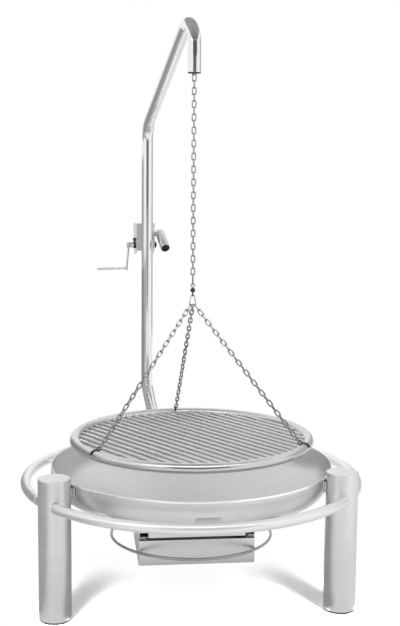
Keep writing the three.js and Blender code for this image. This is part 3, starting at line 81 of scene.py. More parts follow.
ARM_CORNER, ARM_BEND, TOP_BEND, MOUTH_DROP, FOOT_BEND = 1348.0, 90.0, 68.0, 72.0, 100.0
SOCKET_RADIUS, SOCKET_BORE, SOCKET_LOW, SOCKET_FLOOR, SOCKET_TOP = 24.15, 21.55, 110.0, 116.0, 300.0
BUSH_BORE, BUSH_RADIUS, BUSH_FLANGE, BUSH_HEIGHT = 19.25, 21.25, 24.0, 30.0
SHAFT_HEIGHT, SHAFT_BACK, SHAFT_RADIUS, WINCH_HALF, WINCH_SHEET = 963.0, 40.0, 6.0, 31.3, 3.0
DRUM_RADIUS, DRUM_FLANGE, WHEEL_ROOT, WHEEL_TIP, WHEEL_SHEET, TEETH = 13.0, 17.0, 9.2, 11.0, 5.0, 12
CRANK_LENGTH, CRANK_HALF_WIDTH, CRANK_SHEET, HUB_RADIUS, HUB_DEPTH = 85.0, 8.0, 4.0, 9.5, 14.0
GRIP_LENGTH, GRIP_RADIUS, NUT_ACROSS, NUT_HEIGHT = 98.0, 4.5, 19.0, 9.0
PAWL_RISE, PAWL_PIN = 20.0, 2.0
HANDLE_RADIUS, HANDLE_LENGTH, HANDLE_WALL, HANDLE_BACK = 15.0, 88.0, 12.0, 26.0
ROPE_RADIUS, ROPE_BEND, ROPE_EXIT, ROPE_ENTRY, FERRULE_RADIUS, FERRULE_LENGTH = 2.0, 25.0, 16.0, 58.0, 4.0, 18.0
GRATE_HEIGHT, GRATE_RADIUS, GRATE_TUBE, GRATE_TURN = 442.0, 338.5, 14.0, 213.0
BAR_PITCH, BAR_RADIUS, BAR_REACH, BAR_LENGTH, STRAP_PLACE, STRAP_WIDTH = 28.0, 5.0, 3.0, 700.0, 90.0, 6.0
LINK_WIRE, LINK_PITCH, LINK_WIDTH, LINK_INNER = 4.0, 18.1, 6.0, 17.8
FIRST_INNER, FIRST_WIDTH, LONG_INNER = 20.0, 9.0, 27.0
HOOK_WIRE, EYE_BORE, EYE_WIRE, BALL = 2.0, 3.6, 3.2, 7.0
SNAP_HEIGHT, SNAP_FOOT, SNAP_TOP, SNAP_BEND, GATE_LENGTH = 32.0, 10.0, 4.5, 5.5, 15.0
HOOK_ANGLE, SLANT_LINKS, TAKEN_UP_LINKS, RISING_LINKS, RUN_GAP, MOUTH_TO_LINK = 131, 27, 23, 9, 0.6, 21.0
LIFT_LINKS = TAKEN_UP_LINKS + RISING_LINKS

# Which way a plate's outline and its thickness lie
UPRIGHT = np.eye(3)
THROUGH_X = np.array([[0.0, 1, 0], [0, 0, 1], [1, 0, 0]])
THROUGH_Y = np.array([[1.0, 0, 0], [0, 0, 1], [0, 1, 0]])
TOWARDS_FRONT = np.array([[1.0, 0, 0], [0, 0, 1], [0, -1, 0]])


# Meshes


def unit(vector):
    return vector / np.linalg.norm(vector)


def turn_angles(count, phase=0.0):
    """Equal steps of a full turn."""
    return TURN * (np.arange(count) + phase) / count


def level(angle):
    """Level unit vectors at these angles."""
    return np.stack([np.cos(angle), np.sin(angle), 0 * angle], -1)


def standing(angle):
    """Unit vectors at these angles in the plane of X and Z."""
    return np.stack([np.cos(angle), 0 * angle, np.sin(angle)], -1)


def spokes(first, second, count):
    """Unit spokes round each station of a line: n cos a + m sin a."""
    angle = turn_angles(count)[:, None]
    return first[:, None] * np.cos(angle) + second[:, None] * np.sin(angle)


def grid_faces(rows, columns, wrap_rows, wrap_columns):
    """Quads that join each point of a grid of rows and columns to its neighbours. A wrapped side joins its
    last line to its first."""
    row = np.arange(rows if wrap_rows else rows - 1)
    column = np.arange(columns if wrap_columns else columns - 1)
    row, column = np.meshgrid(row, column, indexing="ij")
    next_row, next_column = (row + 1) % rows, (column + 1) % columns
    corners = (row * columns + column, row * columns + next_column,
               next_row * columns + next_column, next_row * columns + column)
    return np.stack(corners, -1).reshape(-1, 4)


def capped_faces(rows, columns):
    """Faces of a skin of rings, with a flat face over its first and its last ring."""
    ring = np.arange(columns)
    return [grid_faces(rows, columns, False, True), ring[None, ::-1], (ring + (rows - 1) * columns)[None]]


def signed_volume(points, faces):
    """A sixth of the sum of a . (b x c) over the triangles that fan out from each face's first corner."""
    total = 0.0
    for group in faces:
        a = points[group[:, 0]]
        for k in range(1, group.shape[1] - 1):
            total += np.einsum("ij,ij->", a, np.cross(points[group[:, k]], points[group[:, k + 1]])) / 6
    return total


def placed(name, data):
    """A new object in the scene."""
    made = bpy.data.objects.new(name, data)
    bpy.context.scene.collection.objects.link(made)
    return made


class Shell:
    """The closed surfaces of one piece, with the direction of its grain: the first number of the grain runs
    slowly along the brushing and the other two run across it, all in metres."""

    def __init__(self):
        self.points, self.grain, self.faces, self.count = [], [], [], 0

    def add(self, points, faces, grain=None):
        points = np.asarray(points, float).reshape(-1, 3)
        grain = points * MM if grain is None else np.asarray(grain, float).reshape(-1, 3)
        if signed_volume(points - points.mean(0), faces) < 0:
            faces = [group[:, ::-1] for group in faces]
        self.points.append(points)
        self.grain.append(grain)
        self.faces += [group + self.count for group in faces]
        self.count += len(points)
        return self

    def moved(self, turn, shift=(0, 0, 0)):
        """Every point turned about the upright axis and then shifted."""
        c, s = math.cos(turn), math.sin(turn)
        spin = np.array([[c, -s, 0], [s, c, 0], [0, 0, 1]])
        self.points = [p @ spin.T + np.asarray(shift, float) for p in self.points]
        return self

    def finish(self, name, body, slot, material, nodes=(), sharp=35):
        """The piece as an object that rides a body and replaces the nodes. Edges over the angle stay sharp."""
        points = np.concatenate(self.points) * MM + AXIS
        mesh = bpy.data.meshes.new(name)
        mesh.vertices.add(len(points))
        mesh.vertices.foreach_set("co", points.astype(np.float32).ravel())
        sizes = np.concatenate([np.full(len(g), g.shape[1]) for g in self.faces])
        corners = np.concatenate([g.ravel() for g in self.faces])
        mesh.loops.add(len(corners))
        mesh.loops.foreach_set("vertex_index", corners.astype(np.int32))
        mesh.polygons.add(len(sizes))
        starts = np.concatenate([[0], np.cumsum(sizes)[:-1]])
        mesh.polygons.foreach_set("loop_start", starts.astype(np.int32))
        mesh.update(calc_edges=True)
        mesh.validate()
        grain = mesh.attributes.new("grain", "FLOAT_VECTOR", "POINT")
        grain.data.foreach_set("vector", np.concatenate(self.grain).astype(np.float32).ravel())
        mesh.shade_smooth()
        mesh.set_sharp_from_angle(angle=math.radians(sharp))
        mesh.materials.append(material)
        made = placed(name, mesh)
        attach(made, body)
        if nodes:
            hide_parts(*nodes)
        return made


def fillet(outline, radii, steps=6):
    """A closed outline whose corners are arcs: each arc touches both sides at radius times the tangent of half
    the turn from the corner."""
    corners = np.asarray(outline, float)
    radii, steps = np.broadcast_to(radii, len(corners)), np.broadcast_to(steps, len(corners))
    found = []
    for k, corner in enumerate(corners):
        into, out = unit(corner - corners[k - 1]), unit(corners[(k + 1) % len(corners)] - corner)
        turn = math.atan2(into[0] * out[1] - into[1] * out[0], into @ out)
        if radii[k] <= 0 or abs(turn) < 1e-6:
            found.append(corner[None])
            continue
        start = corner - into * radii[k] * math.tan(abs(turn) / 2)
        side = np.array([-into[1], into[0]]) * np.sign(turn)
        angle = turn * np.linspace(0, 1, steps[k] + 1)
        spoke = np.stack([-side[0] * np.cos(angle) + side[1] * np.sin(angle),
                          -side[0] * np.sin(angle) - side[1] * np.cos(angle)], -1)
        found.append(start + side * radii[k] + spoke * radii[k])
    return np.concatenate(found)


def stepped(values, radii, steps=6):
    """A right-angled outline with round corners. The values are the places of its sides by turns, across, up,
    across and so on, and it ends across where it started."""
    corners = [(values[k + k % 2], values[k + 1 - k % 2]) for k in range(len(values) - 1)]
    return fillet(corners, radii, steps)


def arc_length(points):
    """Distance along a line of points, from its first one."""
    return np.concatenate([[0], np.cumsum(np.linalg.norm(np.diff(points, axis=0), axis=1))])


def stretched_over(*parts):
    """Three numbers for each point, from arrays that are spread over each other."""
    return np.stack(np.broadcast_arrays(*parts), -1)


def turned(profile, segments, origin, axes):
    """A profile of radius and height turned round the third axis: o + r (u cos a + v sin a) + h w."""
    angle = turn_angles(segments)[:, None]
    spoke = axes[0] * np.cos(angle) + axes[1] * np.sin(angle)
    return origin + profile[:, 0, None, None] * spoke + profile[:, 1, None, None] * axes[2]


def lathe(shell, profile, segments, at=(0, 0)):
    """A profile turned round an upright axis. One that starts on the axis ends there too, and a single point
    closes it at each end."""
    profile = np.asarray(profile, float)
    closed, along = profile[0, 0] > 0, arc_length(profile)
    core = profile if closed else profile[1:-1]
    points = turned(core, segments, (*at, 0), UPRIGHT).reshape(-1, 3)
    run = np.repeat(along if closed else along[1:-1], segments)
    faces = [grid_faces(len(core), segments, closed, True)]
    if not closed:
        first, count = np.arange(segments), len(points)
        last = first + count - segments
        points = np.concatenate([points, [[*at, profile[0, 1]], [*at, profile[-1, 1]]]])
        run = np.concatenate([run, along[[0, -1]]])
        faces.append(np.stack([np.roll(first, -1), first, np.full(segments, count)], -1))
        faces.append(np.stack([last, np.roll(last, -1), np.full(segments, count + 1)], -1))
    return shell.add(points, faces, stretched_over(points @ (1.0, 0.6, 0.0), run, 0) * MM)


def bent_path(corners, radii, steps):
    """Points and directions along a line with round corners. Each corner is an arc of its radius in equal
    steps, and a straight run needs only its two ends."""
    corners = np.asarray(corners, float)
    runs = [unit(run) for run in np.diff(corners, axis=0)]
    points, directions = [corners[:1]], [runs[0][None]]
    for corner, into, out, radius, count in zip(corners[1:], runs, runs[1:], radii, steps):
        turn = math.acos(np.clip(into @ out, -1, 1))
        side = unit(out - into * (into @ out))
        centre = corner - into * radius * math.tan(turn / 2) + side * radius
        angle = (turn * np.linspace(0, 1, count + 1))[:, None]
        points.append(centre + radius * (into * np.sin(angle) - side * np.cos(angle)))
        directions.append(into * np.cos(angle) + side * np.sin(angle))
    return np.concatenate([*points, corners[-1:]]), np.concatenate([*directions, runs[-1][None]])


def carried_frames(directions, first_normal):
    """Two unit normals at each station, turned between stations no more than the direction turns."""
    normals = np.zeros_like(directions)
    normal = np.asarray(first_normal, float)
    for k, direction in enumerate(directions):
        normal = unit(normal - direction * (normal @ direction))
        normals[k] = normal
    return normals, np.cross(directions, normals)


def round_grain(run, radius, sides):
    """Grain of a round section: along the path, and round the section at its radius."""
    angle = turn_angles(sides)
    return stretched_over(run[:, None], radius[:, None] * np.cos(angle), radius[:, None] * np.sin(angle)) * MM


def tube(shell, points, directions, radius, sides=24, bore=0.0, edge=0.5, first_normal=(1, 0, 0), grain_at=0.0):
    """A round section carried along a path: p + r (n cos a + m sin a). With a bore, the wall's inner side runs
    back along the same path. The ends have a small round edge."""
    normals, across = carried_frames(directions, first_normal)
    quarter = np.pi / 2 * np.linspace(0, 1, 4)
    inner = len(points) - 2
    at = np.concatenate([[0] * 4, np.arange(1, inner + 1), [inner + 1] * 4])
    inset, shrink = edge * (1 - np.cos(quarter)), edge * (1 - np.sin(quarter))
    shift = np.concatenate([inset, np.zeros(inner), -inset[::-1]])
    shrink = np.concatenate([shrink, np.zeros(inner), shrink[::-1]])
    line, reach = points[at] + directions[at] * shift[:, None], radius - shrink
    if bore > 0:
        at, line = np.concatenate([at, at[::-1]]), np.concatenate([line, line[::-1]])
        reach = np.concatenate([reach, bore + shrink])
    ring = line[:, None] + reach[:, None, None] * spokes(normals[at], across[at], sides)
    faces = [grid_faces(len(line), sides, True, True)] if bore > 0 else capped_faces(len(line), sides)
    return shell.add(ring, faces, round_grain(arc_length(points)[at] + grain_at, reach, sides))


def closed_wire(shell, points, normals, side, radius, sides=10):
    """A round wire along a flat closed line: p + r (n cos a + w sin a), where w is the line's own upright."""
    ring = points[:, None] + radius * spokes(normals, np.broadcast_to(side, normals.shape), sides)
    grain = round_grain(arc_length(points), np.full(len(points), radius), sides)
    return shell.add(ring, [grid_faces(len(points), sides, True, True)], grain)


def stacked(shell, outline, rows, axes=UPRIGHT, at=(0, 0, 0), brushed=0):
    """A closed outline at rows of inset and height, with a flat face over the first and the last. It lies along
    the first two axes, and its grain runs along the axis with the number of brushed."""
    outline = np.asarray(outline, float)
    before, after = np.roll(outline, 1, 0), np.roll(outline, -1, 0)
    tangent = after - before
    tangent /= np.linalg.norm(tangent, axis=1)[:, None]
    area = np.sum(outline[:, 0] * after[:, 1] - after[:, 0] * outline[:, 1])
    inward = np.stack([-tangent[:, 1], tangent[:, 0]], -1) * np.sign(area)
    local = np.concatenate([np.column_stack([outline + inward * inset, np.full(len(outline), height)])
                            for inset, height in rows])
    grain = np.roll(local, -brushed, 1) * MM
    return shell.add(local @ np.asarray(axes, float) + at, capped_faces(len(rows), len(outline)), grain)


def plate(shell, outline, low, high, edge=0.6, **place):
    """A flat plate with a chamfered edge."""
    rows = [(edge, low), (0, low + edge), (0, high - edge), (edge, high)]
    return stacked(shell, outline, rows, **place)


def rod(shell, start, end, radius, sides, edge=0.5, first_normal=(0, 1, 0), grain_at=0.0):
    """A straight tube without a bore."""
    points = np.array([start, (np.asarray(start) + end) / 2, end], float)
    directions = np.repeat([unit(points[2] - points[0])], 3, 0)
    return tube(shell, points, directions, radius, sides, 0.0, edge, first_normal, grain_at)


def circle(radius, count, phase=0.0):
    return radius * level(turn_angles(count, phase))[:, :2]


# Welds

WELD_RIPPLE, WELD_SIDES = 3.2, 10


def weld_skin(shell, points, normals, across, run, radius):
    """A weld bead whose radius swells and falls by a tenth with every ripple."""
    swell = radius * (0.9 + 0.1 * np.abs(np.sin(np.pi * run / WELD_RIPPLE)))
    ring = points[:, None] + swell[:, None, None] * spokes(normals, across, WELD_SIDES)
    return shell.add(ring, capped_faces(len(points), WELD_SIDES))


def weld_line(shell, start, end, radius, normal):
    """A straight bead that thins out towards its ends."""
    length = np.linalg.norm(end - start)
    share = np.linspace(0, 1, max(8, int(length / WELD_RIPPLE * 4)))
    normals, across = carried_frames(np.repeat([(end - start) / length], len(share), 0), normal)
    taper = np.clip(np.minimum(share, 1 - share) * length / radius, 0.25, 1.0) ** 0.5
    line = start + (end - start) * share[:, None]
    return weld_skin(shell, line, normals, across, share * length, radius * taper)


def weld_arc(shell, radius, height, middle, half, thickness, centre=(0, 0)):
    """A bead along a level arc."""
    count = max(12, int(2 * half * radius / WELD_RIPPLE * 4))
    angle = np.linspace(middle - half, middle + half, count)
    out, up = level(angle), np.broadcast_to(UPRIGHT[2], (count, 3))
    return weld_skin(shell, out * radius + (*centre, height), out, up, (angle - angle[0]) * radius, thickness)


# Materials


class Field:
    """A number that a shader works out. Python's operators on it add Math nodes."""

    def __init__(self, recipe, socket):
        self.recipe, self.socket = recipe, socket

    def math(self, operation, *values):
        return self.recipe.node("Math", {"operation": operation}, dict(enumerate(values)))

    def __add__(self, other):
        return self.math("ADD", self, other)

    def __sub__(self, other):
        return self.math("SUBTRACT", self, other)

    def __rsub__(self, other):
        return self.math("SUBTRACT", other, self)

    def __mul__(self, other):
        return self.math("MULTIPLY", self, other)

    def at_most(self, other):
        return self.math("MINIMUM", self, other)

    def at_least(self, other):
        return self.math("MAXIMUM", self, other)

    def above(self, other):
        return self.math("GREATER_THAN", self, other)

    __radd__, __rmul__ = __add__, __mul__


class Recipe:
    """The nodes of a material or of the world. Each node comes from one call with its type, its settings and
    its sockets."""

    def __init__(self, owner):
        self.owner = bpy.data.materials.new(owner) if isinstance(owner, str) else owner
        self.owner.use_nodes = True
        self.tree = self.owner.node_tree
        self.tree.nodes.clear()

    def node(self, kind, settings=None, sockets=None, output=0):
        made = self.tree.nodes.new("ShaderNode" + kind)
        for key, value in (settings or {}).items():
            setattr(made, key, value)
        for key, value in (sockets or {}).items():
            if isinstance(value, Field):
                self.tree.links.new(value.socket, made.inputs[key])
            else:
                made.inputs[key].default_value = value
        return Field(self, made.outputs[output]) if len(made.outputs) else None

    def spot(self):
        return self.node("TexCoord", output="Object")

    def grain(self):
        return self.node("Attribute", {"attribute_name": "grain"}, output="Vector")

    def part_of(self, vector, axis):
        return self.node("SeparateXYZ", None, {"Vector": vector}, axis)

    def vector_math(self, operation, first, second, output=0):
        return self.node("VectorMath", {"operation": operation}, {0: first, 1: second}, output)

    def noise(self, vector, scale=1.0, detail=2.0, stretch=None):
        if stretch:
            vector = self.vector_math("MULTIPLY", vector, stretch)
        return self.node("TexNoise", None, {"Vector": vector, "Scale": scale, "Detail": detail})

    def blend(self, share, first, second):
        settings = {"data_type": "RGBA", "clamp_factor": True}
        return self.node("Mix", settings, {"Factor": share, 6: first, 7: second}, output=2)

    def bump(self, height, strength, distance):
        return self.node("Bump", None, {"Height": height, "Strength": strength, "Distance": distance})

    def light(self, kind, strength, colour):
        return self.node(kind, None, {"Color": colour, "Strength": strength})

    def either(self, share, first, second):
        return self.node("MixShader", None, {0: share, 1: first, 2: second})

    def done(self, shader, kind="Material"):
        self.node("Output" + kind, None, {"Surface": shader})
        return self.owner

    def surface(self, **sockets):
        named = {key.replace("_", " ").title().replace("Ior", "IOR"): value for key, value in sockets.items()}
        return self.done(self.node("BsdfPrincipled", None, named))


def grey(brightness):
    return (brightness, brightness, brightness, 1.0)


LINE_STRETCH, BAND_STRETCH, BAND_SHARE = 4.0, 1.5, 1 / 14
DARKER, LIGHTER, RIM_ROUGHNESS = 0.86, 1.12, 0.22


def brushed_steel(name, tone, roughness, lines=0.1, clouds=0.05, follow=True, brush=0.0, fineness=900.0,
                  rim_highlight_above=None):
    """Stainless steel whose fine lines follow the grain: a stretched noise makes the lines, a coarser one the
    broader bands, and a cloudy one the slight unevenness of a ground surface. Above a height it can have
    a rim's smoother finish and a pure white colour, which is a painted highlight along the rim."""
    recipe = Recipe(name)
    spot = recipe.spot()
    grain = recipe.grain() if follow else spot
    coarse = fineness * BAND_SHARE
    fine = recipe.noise(grain, detail=3.0, stretch=(LINE_STRETCH, fineness, fineness))
    bands = recipe.noise(grain, stretch=(BAND_STRETCH, coarse, coarse))
    cloud = recipe.noise(spot, scale=7.0, detail=3.0)
    share = (fine - 0.5) * 0.45 + (bands - 0.5) * 0.3 + (cloud - 0.5) * 0.7 + 0.5
    colour = recipe.blend(share, grey(tone * DARKER), grey(min(tone * LIGHTER, 1.0)))
    rough = (fine - 0.5) * lines + (bands - 0.5) * lines * 0.5 + (cloud - 0.5) * clouds * 2 + roughness
    # Painted highlight: above the height the colour turns pure white, and the roughness drops to the rim's
    # smoother finish
    if rim_highlight_above is not None:
        polish_and_highlight = recipe.part_of(spot, "Z").above(rim_highlight_above)
        colour = recipe.blend(polish_and_highlight, colour, grey(1.0))
        rough = rough - polish_and_highlight * (roughness - RIM_ROUGHNESS)
    normal = recipe.bump(fine * 0.6 + bands * 0.4, 0.12, 0.0004)
    return recipe.surface(base_color=colour, metallic=1.0, roughness=rough, normal=normal, anisotropic=brush,
                          anisotropic_rotation=brush / 2)


def moulded_plastic(name, tone, roughness):
    """Moulded plastic with a fine spark-eroded grit and faint flow marks."""
    recipe = Recipe(name)
    spot = recipe.spot()
    specks = recipe.noise(spot, scale=1400.0)
    flow = recipe.noise(spot, stretch=(30.0, 30.0, 90.0))
    colour = recipe.blend(specks * 0.5 + flow * 0.5, grey(tone * 0.8), grey(tone * 1.25))
    rough = (specks - 0.5) * 0.2 + roughness
    return recipe.surface(base_color=colour, roughness=rough, normal=recipe.bump(specks, 0.25, 0.0002))


def weld_steel(name):
    """Weld bead: bright steel with a faint straw tint that comes and goes along it."""
    recipe = Recipe(name)
    spot = recipe.spot()
    heat = recipe.noise(spot, scale=60.0)
    ripple = recipe.noise(spot, scale=900.0)
    colour = recipe.blend(heat, (0.74, 0.72, 0.68, 1), (0.86, 0.86, 0.86, 1))
    return recipe.surface(base_color=colour, metallic=1.0, roughness=ripple * 0.2 + 0.28,
                          normal=recipe.bump(ripple, 0.3, 0.0004))


SATIN = brushed_steel("satin_steel", 0.80, 0.38, brush=0.5)
SATIN_SHELF = brushed_steel("satin_shelf", 0.86, 0.45)
# The bowl's rim band is painted white, a painted highlight along the rim
SATIN_BOWL = brushed_steel("satin_bowl", 0.78, 0.36, brush=0.5, rim_highlight_above=RIM * MM - 0.0055)
SATIN_TUBE = brushed_steel("satin_tube", 0.90, 0.42, brush=0.5)
SATIN_PLATE = brushed_steel("satin_plate", 0.78, 0.36, follow=False)
SATIN_BOX = brushed_steel("satin_box", 0.76, 0.34)
RUNNER = brushed_steel("runner_steel", 0.24, 0.5)
POLISHED = brushed_steel("polished_tube", 0.86, 0.10, lines=0.05, clouds=0.02)
BRIGHT = brushed_steel("bright_steel", 0.66, 0.22, lines=0.08, clouds=0.03)
WIRE = brushed_steel("drawn_wire", 0.46, 0.30, lines=0.08, clouds=0.03)
GRATE = brushed_steel("grate_steel", 0.66, 0.26, lines=0.08, clouds=0.05)
CHAIN = brushed_steel("chain_steel", 0.42, 0.24, lines=0.10, clouds=0.06, fineness=2500.0)
DARK = brushed_steel("dark_steel", 0.07, 0.42, lines=0.10, clouds=0.10, fineness=1500.0)
DARK_PLATE = brushed_steel("dark_plate", 0.16, 0.5, lines=0.10, clouds=0.10, follow=False)
BLACK_PLASTIC = moulded_plastic("black_plastic", 0.018, 0.5)
BEARING_PLASTIC = moulded_plastic("bearing_plastic", 0.66, 0.4)
WELD = weld_steel("weld_steel")


# Fire bowl, legs and tube ring


def bowl_profile():
    """Radius and height of the dished end: a large crown arc, a knuckle arc and a short upright flange, with a
    round edge at the rim, out along the outer side and back along the inner side."""
    knuckle_at = RIM - BOWL_FLANGE
    knuckle_centre = BOWL_RADIUS - KNUCKLE
    crown_angle = math.asin(knuckle_centre / (CROWN - KNUCKLE))
    crown_centre = knuckle_at + (CROWN - KNUCKLE) * math.cos(crown_angle)

    def side(inset):
        crown, knuckle = CROWN - inset, KNUCKLE - inset
        first = np.linspace(math.asin(OUTLET / crown), crown_angle, 40)
        second = np.linspace(crown_angle, np.pi / 2, 25)[1:]
        low = np.stack([crown * np.sin(first), crown_centre - crown * np.cos(first)], -1)
        high = np.stack([knuckle_centre + knuckle * np.sin(second), knuckle_at - knuckle * np.cos(second)], -1)
        return np.concatenate([low, high])

    half = BOWL_WALL / 2
    edge = np.linspace(0, np.pi, 9)
    rim = np.stack([BOWL_RADIUS - half + half * np.cos(edge), RIM - half + half * np.sin(edge)], -1)
    return np.concatenate([side(0.0), rim, side(BOWL_WALL)[::-1]])


def leg_place(name):
    angle = math.radians(LEG_ANGLES[name])
    return LEG_CIRCLE * math.cos(angle), LEG_CIRCLE * math.sin(angle)


def build_bowl():
    lathe(Shell(), bowl_profile(), 192).finish("bowl_dish", "frame", "satin_steel", SATIN_BOWL, ["fire_bowl"])


def build_leg(name):
    profile = stepped([0, LEG_LOW + LEG_PLUG, LEG_BORE, LEG_LOW, LEG_RADIUS, LEG_TOP, 0],
                      [0, 0, 0, 0.6, 2.4, 0], [0, 0, 0, 3, 8, 0])
    lathe(Shell(), profile, 96, leg_place(name)).finish(
        f"leg_tube_{name}", "frame", "satin_steel", SATIN, [f"leg_{name}", f"leg_cap_{name}"])
    foot = stepped([0, 0, LEG_RADIUS - GLIDE_INSET, GLIDE_THICKNESS, SPIGOT, SPIGOT_TOP, 0],
                   [0, 1.2, 0.4, 0, 0, 0], 4)
    lathe(Shell(), foot, 64, leg_place(name)).finish(
        f"glide_{name}", "frame", "black_plastic", BLACK_PLASTIC, [f"foot_glide_{name}"])


def build_lug(name):
    """A small upright plate between the bowl's flange and the leg, with a weld on each side of the leg."""
    turn = math.radians(LEG_ANGLES[name])
    half, low, high = LUG_WIDTH / 2, LUG_MIDDLE - LUG_HEIGHT / 2, LUG_MIDDLE + LUG_HEIGHT / 2
    outline = stepped([-half, low, half, high, -half], 3.5, 5)
    inner, seam = BOWL_RADIUS + GAP, LEG_CIRCLE - LEG_RADIUS + 1.9
    plate(Shell(), outline, inner, inner + LUG_SHEET, 0.5, axes=THROUGH_X, brushed=1).moved(turn).finish(
        f"lug_{name}", "frame", "satin_steel", SATIN, [f"bowl_lug_{name}"])
    beads = Shell()
    for side in (-15.5, 15.5):
        weld_line(beads, np.array([seam, side, low + 2.5]), np.array([seam, side, high - 7]), 2.9, (1, 0, 0))
    beads.moved(turn).finish(f"lug_weld_{name}", "frame", "satin_steel", WELD)


def ring_reach():
    """Half the angle of one length of the ring. The cosine rule in the level triangle of the bowl's axis, the
    leg's axis and the ring's inner side gives the angle at which that side stops at the leg."""
    inner = RING_RADIUS - RING_TUBE
    to_leg = LEG_RADIUS + GAP
    return np.pi / 3 - math.acos((inner**2 + LEG_CIRCLE**2 - to_leg**2) / (2 * inner * LEG_CIRCLE))


def build_ring_tube(name):
    """One third of the tube ring, with a flat cap at each end. A short upright bead joins its inner side to the
    leg."""
    angle = math.radians(ARC_ANGLES[name]) + np.linspace(-1, 1, 121) * ring_reach()
    out, directions = level(angle), level(angle + np.pi / 2)
    points = out * RING_RADIUS + (0, 0, RING_HEIGHT)
    tube(Shell(), points, directions, RING_TUBE, 48, edge=1.0, first_normal=(0, 0, 1)).finish(
        f"ring_arc_{name}", "frame", "satin_steel", SATIN_TUBE, [f"ring_tube_{name}"])
    welds = Shell()
    for end, into in ((0, 1.2), (-1, -1.2)):
        seam = points[end] - out[end] * (RING_TUBE - 0.9) + directions[end] * into
        weld_line(welds, seam - (0, 0, 9.0), seam + (0, 0, 9.0), 2.6, -out[end])
    welds.finish(f"ring_weld_{name}", "frame", "satin_steel", WELD)


def bowl_radius_at(height):
    """Outer radius of the bowl's knuckle at a height."""
    drop = RIM - BOWL_FLANGE - height
    return BOWL_RADIUS - KNUCKLE + math.sqrt(KNUCKLE**2 - drop**2)


def build_shelf(name):
    middle = math.radians(ARC_ANGLES[name])
    outer, inner = RING_RADIUS - RING_TUBE - SHELF_FIT, bowl_radius_at(SHELF_HIGH) + SHELF_FIT
    share = np.linspace(-1, 1, 17)
    outline = np.concatenate([outer * level(share * math.asin(SHELF_OUTER / outer))[:, :2],
                              inner * level(share[::-1] * math.asin(SHELF_INNER / inner))[:, :2]])
    plate(Shell(), outline, SHELF_LOW, SHELF_HIGH, 0.5, brushed=1).moved(middle).finish(
        f"shelf_{name}", "frame", "satin_steel", SATIN_SHELF, [f"bowl_shelf_{name}"])
    beads = Shell()
    weld_arc(beads, inner + 0.4, SHELF_LOW - 0.6, middle, math.asin((SHELF_INNER - 1) / inner), 1.9)
    weld_arc(beads, outer - 0.4, SHELF_LOW - 0.4, middle, math.asin((SHELF_OUTER - 1) / outer), 1.7)
    beads.finish(f"shelf_weld_{name}", "frame", "satin_steel", WELD)


# Ash box


def build_ash_box():
    """The box without a lid: rows of inset and height from the middle of the floor's underside up the outer
    wall, over the rim and down to the middle of the floor's top. Its two runners are bent from strip."""
    sheet, rim, edge, corner = BOX_SHEET, BOX_TOP - 5.5, 0.3, 0.5
    outline = stepped([-HOOD_HALF, -BOX_DEPTH, HOOD_HALF, BOX_DEPTH, -HOOD_HALF], 2.2, 5)
    rows = [(1.2, BOX_BOTTOM), (0.35, BOX_BOTTOM + 0.35), (0, BOX_BOTTOM + 1.2), (0, rim - edge), (edge, rim),
            (sheet - edge, rim), (sheet, rim - edge), (sheet, BOX_BOTTOM + sheet + corner),
            (sheet + corner, BOX_BOTTOM + sheet)]
    stacked(Shell(), outline, rows).finish(
        "ash_drawer_box", "ash_drawer", "satin_steel", SATIN_BOX, ["ash_box"])
    shell = Shell()
    outer, inner, tip = HOOD_HALF - sheet / 2, HOOD_HALF - 25, HOOD_HALF - 7
    top, skirt, lip = BOX_TOP - sheet / 2, BOX_TOP - 22, LIP_BOTTOM + 2.3
    strip = stepped([outer - 2 * sheet, skirt, outer, top, inner + sheet, lip, tip, lip + sheet, inner,
                     BOX_TOP - 2 * sheet, outer - 2 * sheet], 0.35, 2)
    reach = BOX_DEPTH - sheet / 2
    for side in (-1, 1):
        plate(shell, strip * (side, 1), -reach, reach, 0.2, axes=TOWARDS_FRONT, brushed=2)
    shell.finish("ash_drawer_runners", "ash_drawer", "satin_steel", RUNNER, ["ash_box"])


def build_ash_ring():
    radius = math.hypot(HOOD_HALF, BOX_DEPTH) + GAP + ASH_WIRE
    out, height = level(turn_angles(192)), BOX_BOTTOM + ASH_RING_RISE
    shell = closed_wire(Shell(), out * radius + (0, 0, height), out, (0, 0, 1), ASH_WIRE, 16)
    shell.finish("ash_ring_wire", "ash_drawer", "bright_steel", WIRE, ["ash_ring"])
    welds = Shell()
    for x, y in ((-1, -1), (1, -1), (1, 1), (-1, 1)):
        inward = np.array([-x, -y, 0]) / math.sqrt(2)
        seam = np.array([x * HOOD_HALF, y * BOX_DEPTH, height]) - inward * 0.2
        weld_line(welds, seam - (0, 0, 4.4), seam + (0, 0, 4.4), 2.2, inward)
    welds.finish("ash_ring_welds", "ash_drawer", "bright_steel", WELD)


# Gallows and socket


